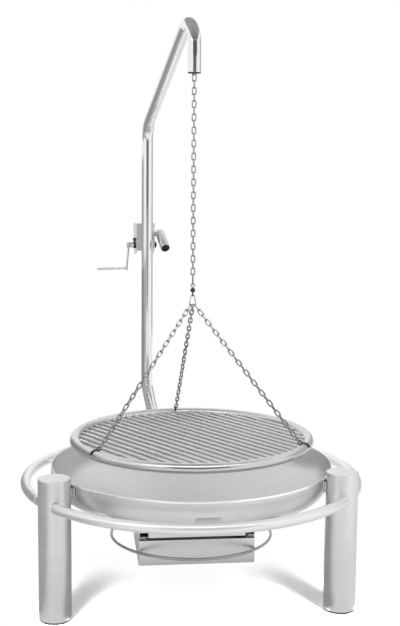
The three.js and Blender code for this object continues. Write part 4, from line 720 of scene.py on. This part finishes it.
def hanging_heights():
    """Heights at which the hanging pieces meet, from the grate's hooks up to the mouth of the gallows. Links
    overlap by their pressed gap."""
    eye, lean = 2 * EYE_BORE, math.radians(HOOK_ANGLE)
    hook_out = GRATE_TUBE + GAP + HOOK_WIRE + EYE_BORE + EYE_WIRE / 2
    hook_radius = GRATE_RADIUS + hook_out * math.cos(lean)
    hook_height = GRATE_HEIGHT + hook_out * math.sin(lean)
    first = FIRST_INNER / 2 - HOOK_WIRE - GAP
    last = first + (FIRST_INNER + LINK_INNER) / 2 + GAP + (SLANT_LINKS - 2) * LINK_PITCH
    length = last + (LINK_INNER + eye) / 2 - GAP
    foot = hook_height + math.sqrt(length**2 - hook_radius**2)
    top = foot + SNAP_HEIGHT
    lower_eye = top - HOOK_WIRE - GAP + EYE_BORE
    ball = lower_eye + EYE_BORE + EYE_WIRE / 2 + BALL
    upper_eye = ball + BALL + EYE_WIRE + EYE_BORE
    long_link = upper_eye + (eye + LONG_INNER) / 2 - GAP
    top_link = long_link + (LONG_INNER + LINK_INNER) / 2 + GAP + LIFT_LINKS * LINK_PITCH - 2 * RUN_GAP
    return dict(hook_radius=hook_radius, hook_height=hook_height, first=first, length=length, foot=foot,
                top=top, lower_eye=lower_eye, ball=ball, upper_eye=upper_eye, long_link=long_link,
                top_link=top_link, mouth=top_link - MOUTH_TO_LINK)


HANG = hanging_heights()


def gallows_corners():
    """Corners of the gallows tube. The arm leans so that its top bend starts a fixed height above the mouth."""
    rise = HANG["mouth"] + MOUTH_DROP - ARM_CORNER
    reach = MAST_REACH - TOP_BEND
    lean = math.acos(TOP_BEND / math.hypot(reach, rise)) - math.atan2(rise, reach)
    top = ARM_CORNER + MAST_REACH / math.tan(lean)
    socket, mast = SOCKET_AT[:2], MAST_AT[:2]
    return np.array([[*socket, GALLOWS_FOOT], [*socket, SOCKET_END], [*mast, FOOT_BEND_TOP],
                     [*mast, ARM_CORNER], [0, 0, top], [0, 0, HANG["mouth"]]])


def build_gallows():
    bends = [FOOT_BEND, FOOT_BEND, ARM_BEND, TOP_BEND]
    points, directions = bent_path(gallows_corners(), bends, [14, 14, 24, 56])
    tube(Shell(), points, directions, GALLOWS_RADIUS, 64, GALLOWS_RADIUS - GALLOWS_WALL, 0.6).finish(
        "gallows_pipe", "gallows", "bright_steel", POLISHED, ["gallows_tube"])
    bore, lip, fit = 11, GALLOWS_RADIUS - 0.1, GALLOWS_RADIUS - GALLOWS_WALL - 0.2
    low, seat, high = HANG["mouth"] - 2.3, HANG["mouth"] - GAP, HANG["mouth"] + 18
    ring = stepped([bore, low, lip, seat, fit, high, bore], [1.6, 0.8, 0.3, 0, 0.4, 2.5], 5)
    lathe(Shell(), ring, 48).finish("mouth_ring", "gallows", "black_plastic", BLACK_PLASTIC, ["mouth_guide"])


def build_socket():
    at = SOCKET_AT[:2]
    pipe = stepped([0, SOCKET_LOW, SOCKET_RADIUS, SOCKET_TOP, SOCKET_BORE, SOCKET_FLOOR, 0],
                   [0, 1.0, 0.6, 0.4, 0, 0], 4)
    lathe(Shell(), pipe, 72, at).finish(
        "socket_pipe", "frame", "satin_steel", SATIN, ["gallows_socket"])
    flange, head, low = SOCKET_TOP + GAP, SOCKET_TOP + GAP + 3, SOCKET_FLOOR + GAP
    upper = stepped([BUSH_BORE, SOCKET_TOP - BUSH_HEIGHT, BUSH_RADIUS, flange, BUSH_FLANGE, head, BUSH_BORE],
                    [0, 0, 0, 0.4, 0.8, 0.8], 4)
    lower = stepped([BUSH_BORE, low, BUSH_RADIUS, low + BUSH_HEIGHT, BUSH_BORE], 0)
    for name, profile in (("upper", upper), ("lower", lower)):
        lathe(Shell(), profile, 72, at).finish(
            f"{name}_bush", "frame", "bearing_plastic", BEARING_PLASTIC, [f"socket_bush_{name}"])
    along = math.atan2(SOCKET_AT[1] - LEG_CIRCLE, SOCKET_AT[0])
    welds = Shell()
    for bracket in (140, 270):
        for centre, radius, facing in ((leg_place("rear"), LEG_RADIUS, along),
                                       (at, SOCKET_RADIUS, along + np.pi)):
            half = min(math.asin(18 / radius), 0.85)
            for height in (bracket - 4.6, bracket + 4.6):
                weld_arc(welds, radius + 0.4, height, facing, half, 1.9, centre)
    welds.finish("socket_welds", "frame", "satin_steel", WELD)


# Winch


def winch(shell):
    """Turns pieces made round the mast's axis, with the grate's centre towards -Y, to their place."""
    return shell.moved(MAST_YAW, MAST_AT)


def spun_x(shell, profile, y, z, segments=64):
    """A profile of radius and distance along X, turned round a line along X."""
    points = turned(profile, segments, (0, y, z), THROUGH_X)
    grain = stretched_over(points[..., 1], arc_length(profile)[:, None], 0) * MM
    return shell.add(points, [grid_faces(len(profile), segments, True, True)], grain)


def build_winch_shaft():
    y, z = SHAFT_BACK, SHAFT_HEIGHT
    wheel_left = -WINCH_HALF - WHEEL_SHEET
    hub_right = wheel_left - GAP
    arm_right = hub_right - HUB_DEPTH
    arm_left = arm_right - CRANK_SHEET
    nut_right = WINCH_HALF + NUT_HEIGHT
    winch(rod(Shell(), (arm_left + 1.2, y, z), (nut_right + 3, y, z), SHAFT_RADIUS, 40, 0.8)).finish(
        "shaft_rod", "winch", "bright_steel", BRIGHT, ["winch_shaft"])
    inside, bore, cheek = WINCH_HALF - GAP - WINCH_SHEET - 1.5, SHAFT_RADIUS + 0.2, 3
    drum = stepped([bore, -inside, DRUM_FLANGE, -inside + cheek, DRUM_RADIUS, inside - cheek, DRUM_FLANGE,
                    inside, bore], [0, 0.6, 0.6, 1, 1, 0.6, 0.6, 0], 4)
    winch(spun_x(Shell(), drum, y, z)).finish("rope_drum", "winch", "satin_steel", SATIN, ["winch_drum"])
    teeth = np.stack([circle(WHEEL_ROOT, TEETH), circle(WHEEL_TIP, TEETH, 1)], 1).reshape(-1, 2)
    cross = {"axes": THROUGH_X, "at": (0, y, z)}
    winch(plate(Shell(), teeth, wheel_left, -WINCH_HALF, 0.3, **cross)).finish(
        "ratchet", "winch", "dark_steel", DARK, ["ratchet_wheel"], sharp=20)
    lean = math.radians(20)
    down = np.array([0, math.sin(lean), -math.cos(lean)])
    end = np.array([0, y, z]) + CRANK_LENGTH * down
    rounds = circle(CRANK_HALF_WIDTH, 48)
    capsule = np.concatenate([rounds[24:] - (0, CRANK_LENGTH), rounds[:24]])
    arm_axes = (np.cross(down, (1, 0, 0)), -down, (1, 0, 0))
    shell = plate(Shell(), capsule, arm_left, arm_right, 0.5, axes=arm_axes, at=(0, y, z), brushed=1)
    hub = stepped([0.4, arm_left - 4, HUB_RADIUS, hub_right, SHAFT_RADIUS + 0.05, arm_left + 1, 0.4],
                  [0, 3.2, 0.8, 0, 0, 0])
    winch(spun_x(shell, hub, y, z, 48)).finish("crank_lever", "winch", "bright_steel", BRIGHT, ["crank_arm"])
    grip = (arm_left - GAP - GRIP_LENGTH, *end[1:])
    winch(rod(Shell(), grip, (arm_left + 1.0, *end[1:]), GRIP_RADIUS, 32, 1.2)).finish(
        "crank_grip", "winch", "bright_steel", SATIN_TUBE, ["crank_handle"])
    hexagon = circle(NUT_ACROSS / math.sqrt(3), 6)
    winch(plate(Shell(), hexagon, WINCH_HALF, nut_right, 1.0, **cross)).finish(
        "lock_nut", "winch", "dark_steel", DARK, ["shaft_nut"], sharp=20)


def build_winch_trims():
    left, right = -WINCH_HALF - WHEEL_SHEET, -WINCH_HALF
    y, z = SHAFT_BACK, SHAFT_HEIGHT + PAWL_RISE
    half = 3
    reach = math.sqrt((PAWL_RISE - WHEEL_TIP - GAP) ** 2 - half**2)
    lever = fillet([[-half, -reach], [half, -reach], [half, 0], [13, 0], [13, half], [half, half], [0, 4.5],
                    [-4.5, 0]], [0.4, 0.4, 0, 0.6, 0.6, 0.5, 3, 3], 4)
    winch(plate(Shell(), lever, left, right, 0.4, axes=THROUGH_X, at=(0, y, z))).finish(
        "pawl_lever", "pawl", "dark_steel", DARK, ["ratchet_pawl"])
    rivet = rod(Shell(), (left - 3, y, z), (left - GAP, y, z), 2 * PAWL_PIN, 32, 0.8)
    winch(rod(rivet, (left - 1, y, z), (right, y, z), PAWL_PIN, 20, 0.2)).finish(
        "pawl_rivet", "gallows", "bright_steel", BRIGHT, ["pawl_pin"])
    base, head = GALLOWS_RADIUS + GAP + WINCH_SHEET + GAP, circle(6, 6, 0.5)
    for name, side in (("left", -18.5), ("right", 18.5)):
        screw = plate(Shell(), head, base, base + 4, axes=THROUGH_Y, at=(side, 0, SHAFT_HEIGHT + 60))
        winch(screw).finish(
            f"hex_screw_{name}", "gallows", "bright_steel", BRIGHT, [f"bracket_screw_{name}"], sharp=20)


def build_swing_handle():
    """A short tube handle that points forwards and down from the winch's right side, with a plug set a little
    into its end."""
    lean = math.radians(32)
    start = np.array([WINCH_HALF + WINCH_SHEET + HANDLE_RADIUS, HANDLE_BACK, SHAFT_HEIGHT + 41])
    along = np.array([0, -math.cos(lean), -math.sin(lean)])
    side = np.array([1.0, 0, 0])
    axes = (side, np.cross(along, side), along)

    def spun(profile):
        profile, angle = np.asarray(profile, float), turn_angles(64)
        run = arc_length(profile)[1:-1, None] * MM
        grain = stretched_over(np.cos(angle) * 0.015, run, np.sin(angle) * 0.002)
        return Shell().add(turned(profile[1:-1], 64, start, axes), capped_faces(len(profile) - 2, 64), grain)

    radius, wall, end, floor = HANDLE_RADIUS, HANDLE_RADIUS - 2, HANDLE_LENGTH, HANDLE_WALL
    body = stepped([0, 0, radius, end, wall, floor, 0], [0, 3.0, 0.8, 0.6, 0, 0])
    shell = spun([[0, 0], [0.5, 0], *body[1:-1], [0.5, floor], [0, floor]])
    boss_at = start + along * 8
    rod(shell, (WINCH_HALF, *boss_at[1:]), (start[0] - 8, *boss_at[1:]), 8, 40, 0.6)
    winch(shell).finish("turning_handle", "gallows", "bright_steel", BRIGHT, ["swing_handle"])
    foot, rim, dish, face, fit = end - 16, end - 2, end - 4.5, end - 2.8, wall - GAP
    plug = fillet([[0, foot], [fit, foot], [fit, rim], [10.2, rim], [9.4, dish], [3.0, dish], [2.2, face],
                   [0, face]], [0, 0, 0.8, 0.6, 0.5, 0.5, 0.5, 0], 4)
    winch(spun([[0, foot], [0.4, foot], *plug[1:-1], [0.4, face], [0, face]])).finish(
        "handle_plug", "gallows", "black_plastic", BLACK_PLASTIC, ["swing_handle_plug"])


def build_rope():
    """The winch rope: from the drum into the mast and up inside it to the chain, in a ferrule at its end."""
    corners = gallows_corners()
    tangent = SHAFT_BACK - DRUM_RADIUS - GAP - ROPE_RADIUS
    back = np.array([-math.sin(MAST_YAW), math.cos(MAST_YAW)])
    start = [[*(back * y + MAST_AT[:2]), SHAFT_HEIGHT + rise]
             for y, rise in ((tangent, 0), (tangent, ROPE_EXIT), (0, ROPE_ENTRY))]
    link_top = HANG["top_link"] + LINK_INNER / 2 + 3.2
    path = np.array([*start, corners[3], corners[4], [0, 0, link_top + FERRULE_LENGTH / 2]])
    points, directions = bent_path(path, [ROPE_BEND, ROPE_BEND, ARM_BEND, TOP_BEND], [6, 6, 12, 30])
    shell = tube(Shell(), points, directions, ROPE_RADIUS, 12, edge=0.2)
    ferrule = stepped([0, link_top, FERRULE_RADIUS, link_top + FERRULE_LENGTH, 0], [0, 1, 1, 0], 4)
    lathe(shell, ferrule, 32).finish("lifting_rope", "gallows", "dark_steel", DARK, ["winch_rope"])


# Chains


def add_link(shell, inner_length, inner_width, basis, place):
    """One link: two half circles joined by two straight sides, with its wide side, its thin side and its length
    along the rows of the basis."""
    bend, half = (inner_width + LINK_WIRE) / 2, (inner_length - inner_width) / 2
    out = standing(np.linspace(0, np.pi, 7))
    top = bend * out + (0, 0, half)
    points, out = np.concatenate([top, -top]), np.concatenate([out, -out])
    return closed_wire(shell, points @ basis + place, out @ basis, basis[1], LINK_WIRE / 2, 8)


def upright_basis(quarter):
    """A link's basis, turned a quarter for every other link."""
    return np.array([[0, 1, 0], [-1, 0, 0], [0, 0, 1.0]]) if quarter % 2 else UPRIGHT


def build_lift_chain():
    """The top link, the links that the winch takes up, and those that rise, with a long link under them."""
    upper_top = HANG["top_link"] - LINK_PITCH + RUN_GAP
    lower_top = upper_top - TAKEN_UP_LINKS * LINK_PITCH + RUN_GAP

    def run(count, first, top):
        shell = Shell()
        for k in range(count):
            place = np.array([0, 0, top - k * LINK_PITCH])
            add_link(shell, LINK_PITCH - 0.1, LINK_WIDTH, upright_basis(first + k), place)
        return shell

    run(1, 0, HANG["top_link"]).finish("first_link", "chain_top", "chain_steel", CHAIN, ["chain_top_link"])
    taken_up = run(TAKEN_UP_LINKS, 1, upper_top).finish(
        "taken_up_links", "hang", "chain_steel", CHAIN, ["lift_chain_upper"])
    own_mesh(taken_up)
    rising = run(RISING_LINKS, 1 + TAKEN_UP_LINKS, lower_top)
    add_link(rising, LONG_INNER, LINK_WIDTH, upright_basis(1), np.array([0, 0, HANG["long_link"]]))
    rising.finish("rising_links", "hoist", "chain_steel", CHAIN, ["lift_chain_lower"])


def eye_ring(shell, height, basis, x=0.0):
    """A small wire ring that stands upright."""
    out = standing(turn_angles(28)) @ basis
    centre = np.array([x, 0, height])
    return closed_wire(shell, centre + (EYE_BORE + EYE_WIRE / 2) * out, out, basis[1], EYE_WIRE / 2, 12)


def build_swivel():
    ball, shoulder = HANG["ball"], 2.3
    angle = np.linspace(-np.pi / 2, np.pi / 2 - 0.33, 22)[1:]
    skin = np.stack([BALL * np.cos(angle), ball + BALL * np.sin(angle)], -1)
    neck = [[shoulder, ball + 6.62], [shoulder, ball + shoulder], [2 * shoulder, ball + shoulder],
            [2 * shoulder, ball - shoulder], [0, ball - shoulder]]
    shell = lathe(Shell(), [[0, ball - BALL], *skin, *neck], 40)
    eye_ring(shell, HANG["lower_eye"], upright_basis(1)).finish(
        "swivel_ball", "grate", "dark_steel", DARK, ["swivel_body"])
    stem, head, top = 2, 4, HANG["upper_eye"] - EYE_BORE - EYE_WIRE / 2
    profile = stepped([0, ball - stem, head, ball + stem, stem, top, 0], [0, 0.5, 0.5, 0.3, 0, 0], 3)
    shell = lathe(Shell(), profile, 32)
    eye_ring(shell, HANG["upper_eye"], UPRIGHT).finish(
        "swivel_pin", "hoist", "chain_steel", CHAIN, ["swivel_stem"])


def build_snap_hook():
    """A pear-shaped snap hook: wire round the outline of a tall narrow trapezoid, open where its gate lies."""
    foot, top = HANG["foot"], HANG["top"]
    low_left, high_left = np.array([-SNAP_FOOT, 0, foot]), np.array([-SNAP_TOP, 0, top])
    along = unit(high_left - low_left)
    gate = low_left + along * (np.linalg.norm(high_left - low_left) - GATE_LENGTH) / 2
    corners = [gate, low_left, [SNAP_FOOT, 0, foot], [SNAP_TOP, 0, top], high_left, gate + along * GATE_LENGTH]
    points, directions = bent_path(corners, [SNAP_BEND, SNAP_BEND, 4.6, 4.6], [10] * 4)
    tube(Shell(), points, directions, HOOK_WIRE, 16, edge=0.4, first_normal=(0, 1, 0)).finish(
        "snap_body", "grate", "bright_steel", BRIGHT, ["snap_hook"])
    start, end = gate + along * GAP, gate + along * (GATE_LENGTH - 0.9)
    rod(Shell(), start, end, HOOK_WIRE - 0.1, 16).finish(
        "snap_closer", "hook_gate", "bright_steel", BRIGHT, ["snap_gate"])


def turned_about(vector, axis, angle):
    """A vector turned about a unit axis: v cos a + (k x v) sin a + k (k . v)(1 - cos a)."""
    return (vector * math.cos(angle) + np.cross(axis, vector) * math.sin(angle)
            + axis * (axis @ vector) * (1 - math.cos(angle)))


def build_grate_chain(number):
    """A chain from the snap hook's foot, or from one of its lower bends, to a hook of the grate. Its links turn
    by quarters, and a slight twist along it brings the last link square to its hook."""
    azimuth = math.radians(GRATE_TURN + 120 * number)
    out = level(azimuth)
    bottom = out * HANG["hook_radius"] + (0, 0, HANG["hook_height"])
    pull = unit(np.array([bottom[0], 0, bottom[2] - HANG["foot"]]))
    side = np.sign(np.round(3 * pull[0]))
    seat, wire_along = np.array([0, 0, HANG["foot"]]), np.array([1.0, 0, 0])
    if side:
        lean = math.atan2(SNAP_FOOT - SNAP_TOP, SNAP_HEIGHT)
        centre = SNAP_FOOT - SNAP_BEND * math.tan((np.pi / 2 + lean) / 2)
        seat = np.array([side * centre, 0, HANG["foot"] + SNAP_BEND]) + pull * SNAP_BEND
        wire_along = np.array([-pull[2], 0, pull[0]])
    stretch = np.linalg.norm(bottom - seat) / HANG["length"]
    down = unit(bottom - seat)
    first_wide = unit(np.cross(wire_along, down))
    tangent = np.cross([0, 0, 1], out)
    goal = math.atan2(tangent @ np.cross(down, first_wide), tangent @ first_wide)
    goal -= np.pi / 2 * (SLANT_LINKS - 1)
    twist = goal - np.pi * round(goal / np.pi)
    shell = Shell()
    second = HANG["first"] + (FIRST_INNER + LINK_INNER) / 2 + GAP
    for k in range(SLANT_LINKS):
        wide = turned_about(first_wide, down, np.pi / 2 * k + twist * k / (SLANT_LINKS - 1))
        basis = np.array([wide, np.cross(down, wide), down])
        length, width = (LINK_PITCH - 0.1, LINK_WIDTH) if k else (FIRST_INNER, FIRST_WIDTH)
        place = second + (k - 1) * LINK_PITCH if k else HANG["first"]
        add_link(shell, length, width, basis, seat + down * place * stretch)
    shell.finish(f"slant_chain_{number + 1}", "grate", "chain_steel", CHAIN, [f"grate_chain_{number + 1}"])


def build_ring_hook(number):
    """A wire hook over the grate's tube, with the eye that its chain pulls."""
    angle = np.radians(np.linspace(HOOK_ANGLE, 15, 25))
    points = (GRATE_TUBE + GAP + HOOK_WIRE) * standing(angle) + (GRATE_RADIUS, 0, GRATE_HEIGHT)
    shell = tube(Shell(), points, standing(angle - np.pi / 2), HOOK_WIRE, 14, edge=0.8, first_normal=(0, 1, 0))
    eye_ring(shell, HANG["hook_height"], UPRIGHT, HANG["hook_radius"])
    shell.moved(math.radians(GRATE_TURN + 120 * number)).finish(
        f"wire_hook_{number + 1}", "grate", "dark_steel", DARK, [f"ring_hook_{number + 1}"])


# Grate


def build_grate():
    """The tube ring, the round bars inside it and the two flat straps that carry them."""
    out = level(turn_angles(240))
    centre = out * GRATE_RADIUS + (0, 0, GRATE_HEIGHT)
    closed_wire(Shell(), centre, out, (0, 0, 1), GRATE_TUBE, 40).finish(
        "grate_rim", "grate", "bright_steel", GRATE, ["grate_ring"])

    def half_chord(offset):
        return math.sqrt((GRATE_RADIUS - GRATE_TUBE + BAR_REACH) ** 2 - offset**2)

    bars = Shell()
    for k in range(-11, 12):
        x = k * BAR_PITCH
        start, end = (x, -half_chord(x), GRATE_HEIGHT), (x, half_chord(x), GRATE_HEIGHT)
        rod(bars, start, end, BAR_RADIUS, 20, 0.4, (1, 0, 0), k * BAR_LENGTH)
    for y in (-STRAP_PLACE, STRAP_PLACE):
        reach, half = half_chord(y), STRAP_WIDTH / 2
        flat = stepped([-reach, -half, reach, half, -reach], 0.8, 3)
        plate(bars, flat, GRATE_HEIGHT - 11.5, GRATE_HEIGHT - 2.5, 0.5, at=(0, y, 0))
    bars.moved(math.radians(GRATE_TURN)).finish("grate_rods", "grate", "satin_steel", GRATE, ["grate_bars"])


# Whole grill


def build_grill():
    build_bowl()
    for name in LEG_ANGLES:
        build_leg(name)
        build_lug(name)
    for name in ARC_ANGLES:
        build_ring_tube(name)
        build_shelf(name)
    build_ash_box()
    build_ash_ring()
    build_socket()
    build_gallows()
    build_winch_shaft()
    build_winch_trims()
    build_swing_handle()
    build_rope()
    build_lift_chain()
    build_swivel()
    build_snap_hook()
    for number in range(3):
        build_grate_chain(number)
        build_ring_hook(number)
    build_grate()
    for node, finish in (("ash_hood", SATIN_PLATE), ("winch_bracket", SATIN_PLATE), ("ash_sieve", DARK_PLATE),
                         ("socket_bracket_lower", SATIN_PLATE), ("socket_bracket_upper", SATIN_PLATE)):
        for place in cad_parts[node].material_slots:
            place.material = finish


# Studio

WHITE = grey(1.0)

# Upright cards: first and last azimuth in degrees, brightness, distance, foot and head in metres. Azimuth 0 is
# the front, and a positive one is to the right of it
FLAGS = {
    "flag_low": (-22, 24, 0.36, 2.9, 0.3, 0.9),
    "flag_front": (-25, 27, 0.15, 2.9, 0.9, 1.55),
    "flag_high": (-30, 38, 0.11, 2.9, 1.55, 2.95),
    "flag_side": (-87, -28, 0.42, 2.9, 0.0, 0.62),
    "flag_left": (-150, -92, 0.42, 1.6, 0.75, 1.25),
    "flag_left_low": (-150, -86, 0.28, 1.6, 0.25, 0.75),
    "flag_left_foot": (-150, -56, 0.40, 1.6, 0.0, 0.25),
    "flag_right": (95, 155, 0.55, 4.6, -0.05, 3.0),
}

# Level cards: two corners of the front edge and two of the back edge, height in metres and brightness, or the
# four numbers of a brightness that changes from the front to the back
LEVEL_CARDS = {
    "flag_low_left": ([(-0.445, -0.26), (-1.9, -1.4)], [(-0.445, 2.2), (-1.9, 2.2)], 0.006, 0.40),
    "flag_low_mid": ([(-0.43, -0.30), (-1.70, -1.95)], [(-0.445, -0.26), (-1.9, -1.4)], 0.005, 0.66),
    "flag_low_right": ([(0.445, -0.35), (1.9, -0.8)], [(0.445, 2.2), (1.9, 2.2)], 0.006, 0.80),
    # Painted shadow: a dark card under the bowl that only the steel reflects, in place of the bowl's shadow on
    # the floor
    "flag_under": ([(-0.348, -0.34), (0.348, -0.34)], [(-0.348, 0.40), (0.348, 0.40)], 0.006, 0.33),
    "flag_near": ([(-0.75, -0.80), (0.90, -0.80)], [(-0.75, -0.30), (0.90, -0.30)], 0.003, 0.75),
    "flag_bend": ([(-0.35, -0.52), (0.35, -0.52)], [(-0.35, 0.30), (0.35, 0.30)], 1.80,
                  (0.11, 0.36, -0.44, -0.06)),
    "flag_ceiling": ([(-2.4, -1.7), (2.4, -1.7)], [(-2.4, 1.6), (2.4, 1.6)], 3.6, 0.66),
    "soft_box": ([(-3.0, -3.4), (2.4, -3.4)], [(-3.0, -1.7), (2.4, -1.7)], 3.15, 2.7),
}


def seen_white(recipe):
    """One for the rays that come from the camera or from the steel, and none for the light on the grill."""
    camera, glossy, through = [recipe.node("LightPath", output=f"Is {ray} Ray")
                               for ray in ("Camera", "Glossy", "Transmission")]
    return (camera + glossy + through).at_most(1.0)


def card(name, first_line, second_line, material):
    """A card between two lines of points."""
    mesh = bpy.data.meshes.new(name)
    points = np.stack([first_line, second_line], 1).reshape(-1, 3)
    mesh.from_pydata(points.tolist(), [], grid_faces(len(first_line), 2, False, False).tolist())
    mesh.materials.append(material)
    made = placed(name, mesh)
    return made


def build_floor():
    """A pale floor that glows white for the camera and the steel. Faintly near the axis, and in a streak behind
    each front foot, it shows the light that falls on it, with its shadows."""
    recipe = Recipe("floor")
    spot = recipe.spot()
    from_axis = recipe.vector_math("DISTANCE", spot, tuple(AXIS), "Value")
    shown = (0.04 - from_axis * 0.05).at_least(0.0)
    for name, heading in (("front_left", 24), ("front_right", -22)):
        x, y = leg_place(name)
        away = recipe.vector_math("SUBTRACT", spot, (x * MM, y * MM + AXIS[1], 0))
        c, s = math.cos(math.radians(heading)), math.sin(math.radians(heading))
        along, across = [recipe.vector_math("DOT_PRODUCT", away, way, "Value")
                         for way in ((s, c, 0), (c, -s, 0))]
        beside = 1.8 - across.at_least(across * -1.0) * 17.0
        ends = (1.3 - along * 3.0).at_most(along * 8.0 + 1.6)
        shown = beside.at_most(ends).at_most(1.0).at_least(shown)
    tint = recipe.blend(recipe.noise(spot, scale=3.0), grey(0.84), grey(0.87))
    matt = recipe.node("BsdfPrincipled", None, {"Base Color": tint, "Roughness": 0.9})
    recipe.done(recipe.either(seen_white(recipe) * (1 - shown), matt, recipe.light("Emission", 1.0, WHITE)))
    card("floor", [(-20, -20, 0), (20, -20, 0)], [(-20, 20, 0), (20, 20, 0)], recipe.owner)


def glow(name, brightness):
    """A glowing material. Four numbers instead of one are its brightness at the front and at the back, and the
    places along Y between which it changes."""
    recipe = Recipe(name)
    if isinstance(brightness, float):
        return recipe.done(recipe.light("Emission", 1.0, grey(brightness)))
    front, back, start, end = brightness
    share = ((recipe.part_of(recipe.spot(), "Y") - start) * (1 / (end - start))).at_least(0.0).at_most(1.0)
    near, far = [recipe.light("Emission", 1.0, grey(value)) for value in (front, back)]
    return recipe.done(recipe.either(share, near, far))


def build_reflections():
    """The cards that only the steel reflects."""
    lines = {}
    for name, (first, last, brightness, distance, low, high) in FLAGS.items():
        angle = np.radians(np.linspace(first, last, 24))
        foot = np.stack([distance * np.sin(angle), -distance * np.cos(angle), 0 * angle + low], -1)
        lines[name] = foot, foot + (0, 0, high - low), brightness
    for name, (front, back, height, brightness) in LEVEL_CARDS.items():
        lines[name] = [(*place, height) for place in front], [(*place, height) for place in back], brightness
    for name, (first_line, second_line, brightness) in lines.items():
        made = card(name, first_line, second_line, glow(name, brightness))
        made.visible_camera = made.visible_diffuse = made.visible_shadow = False


def build_lamp(name, place, target, size, power, spread=180):
    """A square lamp that the steel doesn't reflect."""
    light = bpy.data.lights.new(name, "AREA")
    light.shape, light.size, light.energy, light.spread = "SQUARE", size, power, math.radians(spread)
    lamp = placed(name, light)
    lamp.visible_glossy = False
    lamp.location = place
    lamp.rotation_euler = (Vector(target) - Vector(place)).to_track_quat("-Z", "Y").to_euler()


def build_world():
    bpy.context.scene.world = bpy.data.worlds.new("studio")
    recipe = Recipe(bpy.context.scene.world)
    plain, bright = [recipe.light("Background", strength, WHITE) for strength in (0.16, 1.0)]
    recipe.done(recipe.either(seen_white(recipe), plain, bright), "World")


def build_camera():
    """The camera that the photograph was taken with, found from the legs, the rims and the ash ring."""
    focal, pitch, roll, heading = 1130.8, 0.1318, 0.0081, 0.1135
    photo_height, sensor = 626, 36.0
    ahead = Vector((math.sin(heading) * math.cos(pitch), math.cos(heading) * math.cos(pitch), -math.sin(pitch)))
    right = Vector((math.cos(heading), -math.sin(heading), 0))
    up = right.cross(ahead)
    across = right * math.cos(roll) + up * math.sin(roll)
    upward = up * math.cos(roll) - right * math.sin(roll)
    data = bpy.data.cameras.new("camera")
    data.sensor_width, data.lens = sensor, focal / photo_height * sensor
    camera = placed("camera", data)
    camera.matrix_world = Matrix.Translation((-0.3428, -3.1943 + AXIS[1], 1.2332)) @ Matrix(
        (across, upward, -ahead)).transposed().to_4x4()
    bpy.context.scene.camera = camera


def build_studio():
    build_camera()
    build_floor()
    build_world()
    build_reflections()
    for name, side in (("front_left", -1), ("front_right", 1)):
        x, y = leg_place(name)
        target = (x * MM * 0.85, y * MM + AXIS[1] + 0.12, 0)
        build_lamp("soft_" + name, (side * 1.4, -2.5, 2.0), target, 0.6, 8.5, 30)
    build_lamp("soft_top", (0.2, 0.6, 3.4), (0, 0, 0.4), 2.2, 8)
    bpy.context.scene.view_settings.view_transform = "Standard"


build_grill()
build_studio()
